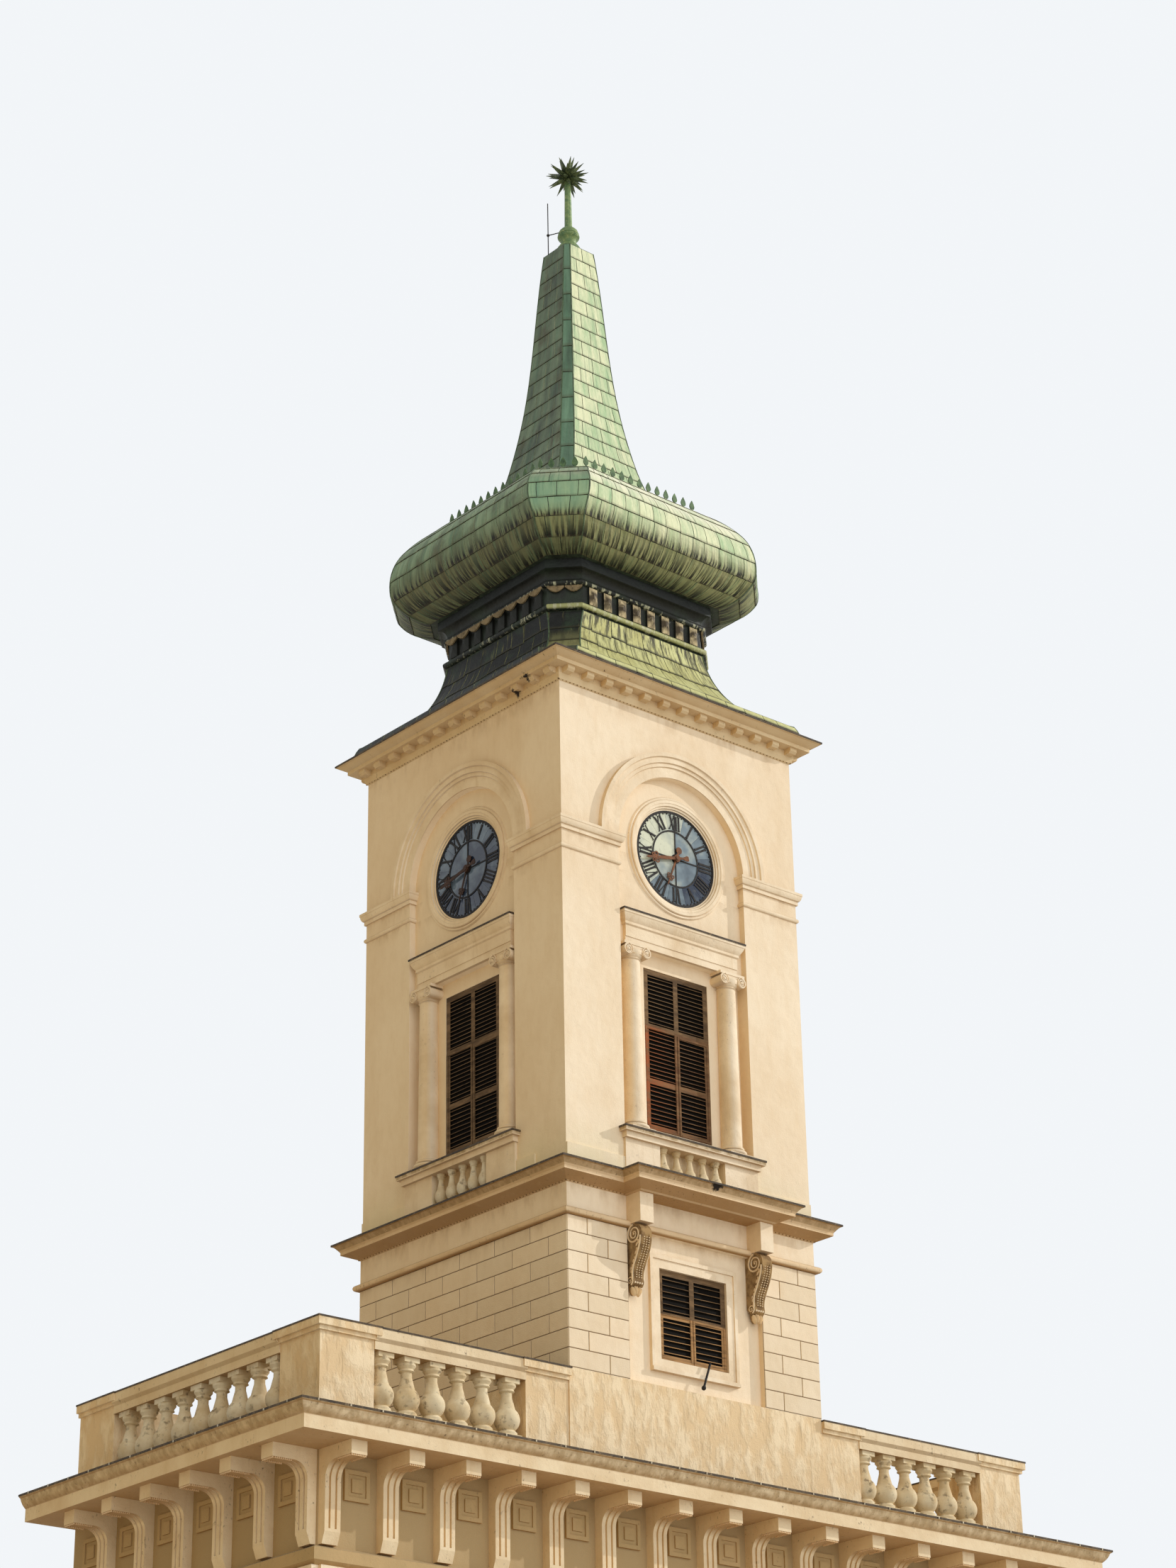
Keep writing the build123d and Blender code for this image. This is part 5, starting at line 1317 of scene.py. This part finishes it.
def makeTeeth():
    s = dialSettings
    wide, deep = s["tooth"]
    shape = newShell()
    prism(shape, rectangle(-deep, s["toothRoot"], -wide / 2, wide / 2), 0.0, s["toothThick"])
    part = shellMesh("tooth", shape)
    part.transform(turned(-90, "X"))
    ring = grown("ring", part, "iron", {"Count": s["teeth"], "Radius": s["toothRing"],
                                        "Wobble": 0.0, "Seed": 1})
    place = Matrix.Translation((0, s["numeralFace"] + 0.001, s["centre"])) @ turned(90, "X")
    return allRound(ring, place)


addShell("dialNumerals", makeNumerals(), "iron")
addShell("dialPanes", makePaneShell(), "panes")
addJoined("dialTeeth", makeTeeth(), "iron")
print("dials made")


# Guttae in three rows under each bracket
guttaSettings = {
    "pitch": 0.032, "deep": 0.024, "foot": 0.014, "neck": 0.010, "z": 12.36, "wobble": 0.03,
    "rows": (((-0.112, -0.709), (1, 0), 8), ((-0.114, -0.670), (0, 1), 9),
             ((0.114, -0.670), (0, 1), 9)),
    "bracketPitch": 0.968, "front": -2.5, "frontHalf": 7, "side": 6.925,
    "sideStart": -2.351, "sideCount": 6,
}


def coneMesh(name, low, high, deep):
    # a small drop that hangs down from z=0; low and high are its radii
    points = [(radius * c, radius * s, z) for radius, z in ((low, -deep), (high, 0.002))
              for c, s in circle(6)]
    return plainMesh(name, points, ringFaces(2, 6))


def makeGuttae():
    s = guttaSettings
    part = coneMesh("gutta", s["foot"], s["neck"], s["deep"])
    rows = [grown("ladder", part, "peach", {
        "Count": count, "Start": (*start, s["z"]), "Turn": (0.0, 0.0, 0.0),
        "Step": (s["pitch"] * way[0], s["pitch"] * way[1], 0.0), "Wobble": s["wobble"],
        "Seed": 2}) for start, way, count in s["rows"]]
    places = [Matrix.Translation((i * s["bracketPitch"], s["front"], 0))
              for i in range(-s["frontHalf"], s["frontHalf"] + 1)]
    for i in range(s["sideCount"]):
        y = s["sideStart"] + s["bracketPitch"] * i
        places += [Matrix.Translation((sign * s["side"], y, 0)) @ turned(90 * sign)
                   for sign in (-1, 1)]
    return [(row, place) for place in places for row in rows]


addJoined("bracketGuttae", makeGuttae(), "peach")
print("guttae made")


# Scalloped valance under the neck's upper roll
scallopSettings = {"top": 27.925, "drop": 0.085, "band": 0.03, "pitch": 0.318, "count": 8,
                   "plane": -1.813, "thick": 0.02, "steps": 6, "probe": 27.86, "margin": 0.02,
                   "cutOut": 0.03, "cutCount": 2, "bevel": 0.003}


def makeScallops():
    s = scallopSettings
    shell = newShell()
    meet = rayAt("neck")
    corner = meet((-6, -6, s["probe"]), (1, 1, 0)).xy.length
    half = -meet((s["pitch"] / 2, -9.0, s["probe"]), (0, 1, 0)).y
    cutHalf = (half - (math.sqrt(2) * corner - half)) / math.sqrt(2)
    rows = [(turned(turn), s["plane"], s["pitch"], s["count"])
            for side, turn in sideTurns.items() if side != "front"]
    rows += [(turned(-45 + turn), -corner - s["cutOut"], cutHalf, s["cutCount"])
             for turn in sideTurns.values()]
    shares = [i / s["steps"] for i in range(s["steps"] + 1)]
    for matrix, plane, width, count in rows:
        for k in range(count):
            left = (k - count / 2) * width + width * s["margin"]
            wide = width * (1 - 2 * s["margin"])
            outline = [(left + wide * f, s["top"] - s["band"] - s["drop"] * math.sin(math.pi * f))
                       for f in shares] + [(left + wide, s["top"]), (left, s["top"])]
            prism(shell, outline, plane - s["thick"], plane + 0.01, matrix, bevel=s["bevel"])
    return shell


addShell("neckScallops", makeScallops(), "scallop")


# Rows of beads under the cornices, painted dark brown as shade, and bright clips on the main
# cornice's edge
beadSettings = {"spacing": 0.075, "wobble": 0.15, "cone": (0.013, 0.016, 0.020),
                "rows": ((25.506, 2.514), (17.212, 2.534))}
clipSettings = {"halfWide": 0.011, "low": -0.02, "high": 0.012, "thick": 0.006, "z": 12.914,
                "wobble": 0.05, "front": (30, (-7.65, -3.4925), 0.5276),
                "side": (13, (-3.2, -7.9175), 0.53)}


def makeBeads():
    s = beadSettings
    part = coneMesh("bead", *s["cone"])
    rows = [grown("path", part, "beadShadeTrim", {"Spacing": s["spacing"], "Wobble": s["wobble"],
                                              "Seed": 4}, [(-half, -half, z), (half, -half, z)])
            for z, half in s["rows"]]
    return [pair for row in rows for pair in allRound(row)]


def makeClips():
    s = clipSettings
    shape = newShell()
    prism(shape, rectangle(-s["halfWide"], s["halfWide"], s["low"], s["high"]), -s["thick"],
          s["thick"], bevel=0.002)
    clip = shellMesh("clip", shape)
    front, side = (grown("ladder", clip, "clip", {
        "Count": count, "Start": (*start, s["z"]), "Step": (step, 0.0, 0.0),
        "Turn": (0.0, 0.0, 0.0), "Wobble": s["wobble"], "Seed": 6})
        for count, start, step in (s["front"], s["side"]))
    return [(front, Matrix.Identity(4)), (side, turned(90)), (side, turned(-90))]


addJoined("corniceBeads", makeBeads(), "beadShadeTrim")
addJoined("flashingClips", makeClips(), "clip")


# Outer moulding of each dial's frame, its section as (out, up) shares of width and proud
dialMoulding = {"radius": 1.008, "width": 0.030, "proud": 0.030, "wall": -2.383, "sunk": 0.004,
                "steps": 72, "section": ((-1, 0.0), (-1, 0.5), (-0.4, 1.0), (0.4, 1.0),
                                         (1, 0.35), (1, 0.0))}


def makeDialMouldings():
    s = dialMoulding
    shell = newShell()
    points = []
    for c, si in circle(s["steps"]):
        for out, up in s["section"]:
            radius = s["radius"] + s["width"] * out
            points.append((radius * c, s["wall"] + s["sunk"] - s["proud"] * up,
                           dialSettings["centre"] + radius * si))
    for turn in sideTurns.values():
        addSolid(shell, points, ringFaces(s["steps"], len(s["section"]), closed=True),
                 turn=turned(turn))
    return shell


addShell("dialMouldings", makeDialMouldings(), "cream", 40)
print("beads, clips and dial mouldings made")


# Carving on the scroll consoles and the capitals
def lobe(shell, centre, size, lean=Matrix.Identity(4), rings=4, sides=8):
    # a small rounded form; size is its three half lengths, lean turns it about its centre
    points = [Vector((0, 0, size[2]))]
    for ring in range(1, rings):
        high = math.pi * ring / rings
        points += [Vector((size[0] * math.sin(high) * c, size[1] * math.sin(high) * s,
                           size[2] * math.cos(high))) for c, s in circle(sides)]
    points.append(Vector((0, 0, -size[2])))
    last = len(points) - 1
    low = last - sides
    faces = [[1 + i for i in face] for face in ringFaces(rings - 1, sides)[:-2]]
    for k in range(sides):
        faces += [[0, 1 + k, 1 + (k + 1) % sides], [last, low + (k + 1) % sides, low + k]]
    addSolid(shell, [lean @ p + Vector(centre) for p in points], faces)


def rib(shell, spine, radii, sides=6):
    # a tube of changing radius whose first side is carried on from place to place
    sideThen = [Vector((0.3, 1, 0.2)).normalized()]

    def carriedOn(way, here):
        sideThen[0] = (sideThen[0] - way * sideThen[0].dot(way)).normalized()
        return sideThen[0]

    tube(shell, spine, radii, carriedOn, sides)


def scroll(shell, centre, across, outer, inner, turns, start, steps, thick, thin, sides=6):
    # a spiral rib that thins from thick by the share thin
    up = Vector((0, 0, 1))
    spine = []
    for i in range(steps + 1):
        radius = outer + (inner - outer) * i / steps
        angle = start + math.tau * turns * i / steps
        spine.append(centre + across * radius * math.cos(angle) + up * radius * math.sin(angle))
    rib(shell, spine, [thick * (1 - thin * i / steps) for i in range(steps + 1)], sides)


def smoothLine(points, steps=8):
    # a curve through all the points
    line = []
    for i in range(len(points) - 1):
        before, here = Vector(points[max(i - 1, 0)]), Vector(points[i])
        there, beyond = Vector(points[i + 1]), Vector(points[min(i + 2, len(points) - 1)])
        for k in range(steps):
            f = k / steps
            line.append(0.5 * (2 * here + (there - before) * f
                               + (2 * before - 5 * here + 4 * there - beyond) * f * f
                               + (3 * here - before - 3 * there + beyond) * f ** 3))
    return line + [Vector(points[-1])]


consoleSettings = {
    "scrolls": (((-2.650, 16.575), 0.150, 2.1, 1.7), ((-2.538, 15.880), 0.068, 1.5, -1.2)),
    "half": 0.1025, "centre": 1.225, "proud": 0.004, "rib": 0.017, "edgeRib": 0.016,
    "sweep": ((-2.815, 16.575), (-2.795, 16.405), (-2.710, 16.215), (-2.630, 16.055),
              (-2.616, 15.880)),
    "beadRows": ((-0.048, 0.004), (0.0, 0.006), (0.048, 0.004)), "beadSpacing": 0.034,
    "bead": 0.012, "eye": 0.14, "eyeDeep": 0.014, "edgeOut": 0.022,
    "leaves": (0.18, 0.33, 0.48, 0.63, 0.78), "leafSize": 0.052, "leafShrink": 0.006,
    "leafSunk": 0.003, "leafRows": ((5, 0.062, 0.04, 0.012, 0.42, 1.0, -28, 9),
                                    (4, 0.10, 0.07, 0.011, 0.34, 0.8, 38, -9)),
    "shell": {"place": (-2.552, 15.745), "pitch": 0.031, "stagger": 0.016, "drop": 0.01,
              "size": (0.016, 0.055, 0.078), "fan": 10},
    "pearls": {"place": (-2.604, 15.855), "pitch": 0.044, "size": (0.020, 0.018, 0.020)},
}


def consoleBeads(x, line):
    s = consoleSettings
    ball = newShell()
    lobe(ball, (0, 0, 0), (s["bead"],) * 3, rings=3, sides=6)
    mesh = shellMesh("ball", ball)
    return [(grown("path", mesh, "cream", {"Spacing": s["beadSpacing"], "Wobble": 0.2,
                                           "Seed": 8},
                   [(x + shift, p.x - out, p.y) for p in line[4:-3]]), Matrix.Identity(4))
            for shift, out in s["beadRows"]]


def consoleSide(shell, side, face, line):
    # scrolls, an edge and two rows of leaves on one cheek of a console
    s = consoleSettings
    for (y, z), outer, turns, start in s["scrolls"]:
        thick = s["rib"] * (outer / s["scrolls"][0][1]) ** 0.4
        scroll(shell, Vector((side, y, z)), Vector((0, -1, 0)), outer, outer * 0.16, turns,
               start, 40, thick, 0.4)
        lobe(shell, (side, y, z), (s["eyeDeep"], outer * s["eye"], outer * s["eye"]))
    edge = [Vector((side, p.x + s["edgeOut"], p.y)) for p in line[3:]]
    rib(shell, edge, [s["edgeRib"]] * len(edge))
    for count, out, down, deep, wide, tall, lean, leanStep in s["leafRows"]:
        for index, share in enumerate(s["leaves"][:count]):
            p = line[int(share * (len(line) - 1))]
            size = s["leafSize"] - s["leafShrink"] * index
            lobe(shell, (side - face * s["leafSunk"], p.x + out, p.y - down),
                 (deep, size * wide, size * tall), turned(lean + leanStep * index, "X"))


def makeConsoleCarving():
    s = consoleSettings
    shell, beads = newShell(), []
    line = smoothLine(s["sweep"])
    for sign in (-1, 1):
        x = sign * s["centre"]
        beads += consoleBeads(x, line)
        for face in (-1, 1):
            consoleSide(shell, x + face * (s["half"] + s["proud"]), face, line)
        fan, pearls = s["shell"], s["pearls"]
        y, z = fan["place"]
        for k in range(-2, 3):
            lobe(shell, (x + fan["pitch"] * k, y - fan["stagger"] * (k % 2),
                         z - fan["drop"] * abs(k)), fan["size"], turned(fan["fan"] * k, "Y"))
        for k in range(4):
            lobe(shell, (x + pearls["pitch"] * (k - 1.5), *pearls["place"]), pearls["size"])
    return [(shellMesh("carving", shell), Matrix.Identity(4))] + beads


capitalSettings = {"column": 1.008, "volute": (0.187, -2.531, 21.230), "outer": 0.094,
                   "inner": 0.016, "turns": 2.4, "start": 100, "steps": 44, "rib": 0.0085,
                   "eye": (0.019, 0.014, 0.019), "egg": (0.023, 0.024, 0.036),
                   "eggs": (0.062, -2.515, 21.236), "pearl": (0.009,) * 3,
                   "pearls": (0.0218, -2.528, 21.186), "firstPearl": -0.12}


def makeCapitalCarving():
    s = capitalSettings
    shell = newShell()
    for column in (-s["column"], s["column"]):
        for sign in (-1, 1):
            reach, y, z = s["volute"]
            centre = Vector((column + sign * reach, y, z))
            scroll(shell, centre, Vector((sign, 0, 0)), s["outer"], s["inner"], s["turns"],
                   math.radians(s["start"]), s["steps"], s["rib"], 0.35, 5)
            lobe(shell, centre, s["eye"])
        pitch, y, z = s["eggs"]
        for k in range(3):
            lobe(shell, (column + pitch * (k - 1), y, z), s["egg"])
        pitch, y, z = s["pearls"]
        for k in range(12):
            lobe(shell, (column + s["firstPearl"] + pitch * k, y, z), s["pearl"], rings=3,
                 sides=6)
    return allRound(shellMesh("carving", shell))


addJoined("consoleCarving", makeConsoleCarving(), "cream", 50)
addJoined("capitalCarving", makeCapitalCarving(), "cream", 50)
print("carving made")


# Lower leaves of the shutters stand a little proud in frames of their own
leafSettings = {
    "bar": 0.036, "proud": 0.012, "sunk": 0.004, "bevel": 0.003,
    "belfry": ((-0.655, -0.012, 18.487, 20.165, -2.2605),
               (0.012, 0.655, 18.487, 20.130, -2.2605)),
    "lowWindow": ((-0.662, -0.012, 14.842, 15.560, -2.4205),
                  (0.012, 0.662, 14.842, 15.535, -2.4205)),
}


def makeLeafFrames():
    s = leafSettings
    shell = newShell()
    bar = s["bar"]
    for side, turn in sideTurns.items():
        bays = s["belfry"] + (s["lowWindow"] if side == "front" else ())
        for x0, x1, z0, z1, face in bays:
            for outline in ((x0, x0 + bar, z0, z1), (x1 - bar, x1, z0, z1),
                            (x0 + bar, x1 - bar, z1 - bar, z1),
                            (x0 + bar, x1 - bar, z0, z0 + bar)):
                prism(shell, rectangle(*outline), face - s["proud"], face + s["sunk"],
                      turned(turn), bevel=s["bevel"])
    return shell


addShell("leafFrames", makeLeafFrames(), "timber")


# Iron stay under the low window's shutter; stations are (share of its length, radius)
staySettings = {"start": (0.235, -2.53, 14.89), "end": (0.045, -2.57, 14.46),
                "stations": ((0.0, 0.020), (0.06, 0.017), (0.85, 0.017), (0.90, 0.030),
                             (0.96, 0.036), (1.0, 0.026))}


def makeStay():
    s = staySettings
    shell = newShell()
    start, end = Vector(s["start"]), Vector(s["end"])
    tube(shell, [start.lerp(end, share) for share, _ in s["stations"]],
         [radius for _, radius in s["stations"]],
         lambda way, here: way.cross(Vector((0, 1, 0))).normalized(), 10)
    return shell


addShell("windowStay", makeStay(), "iron", 40)
print("small parts made")
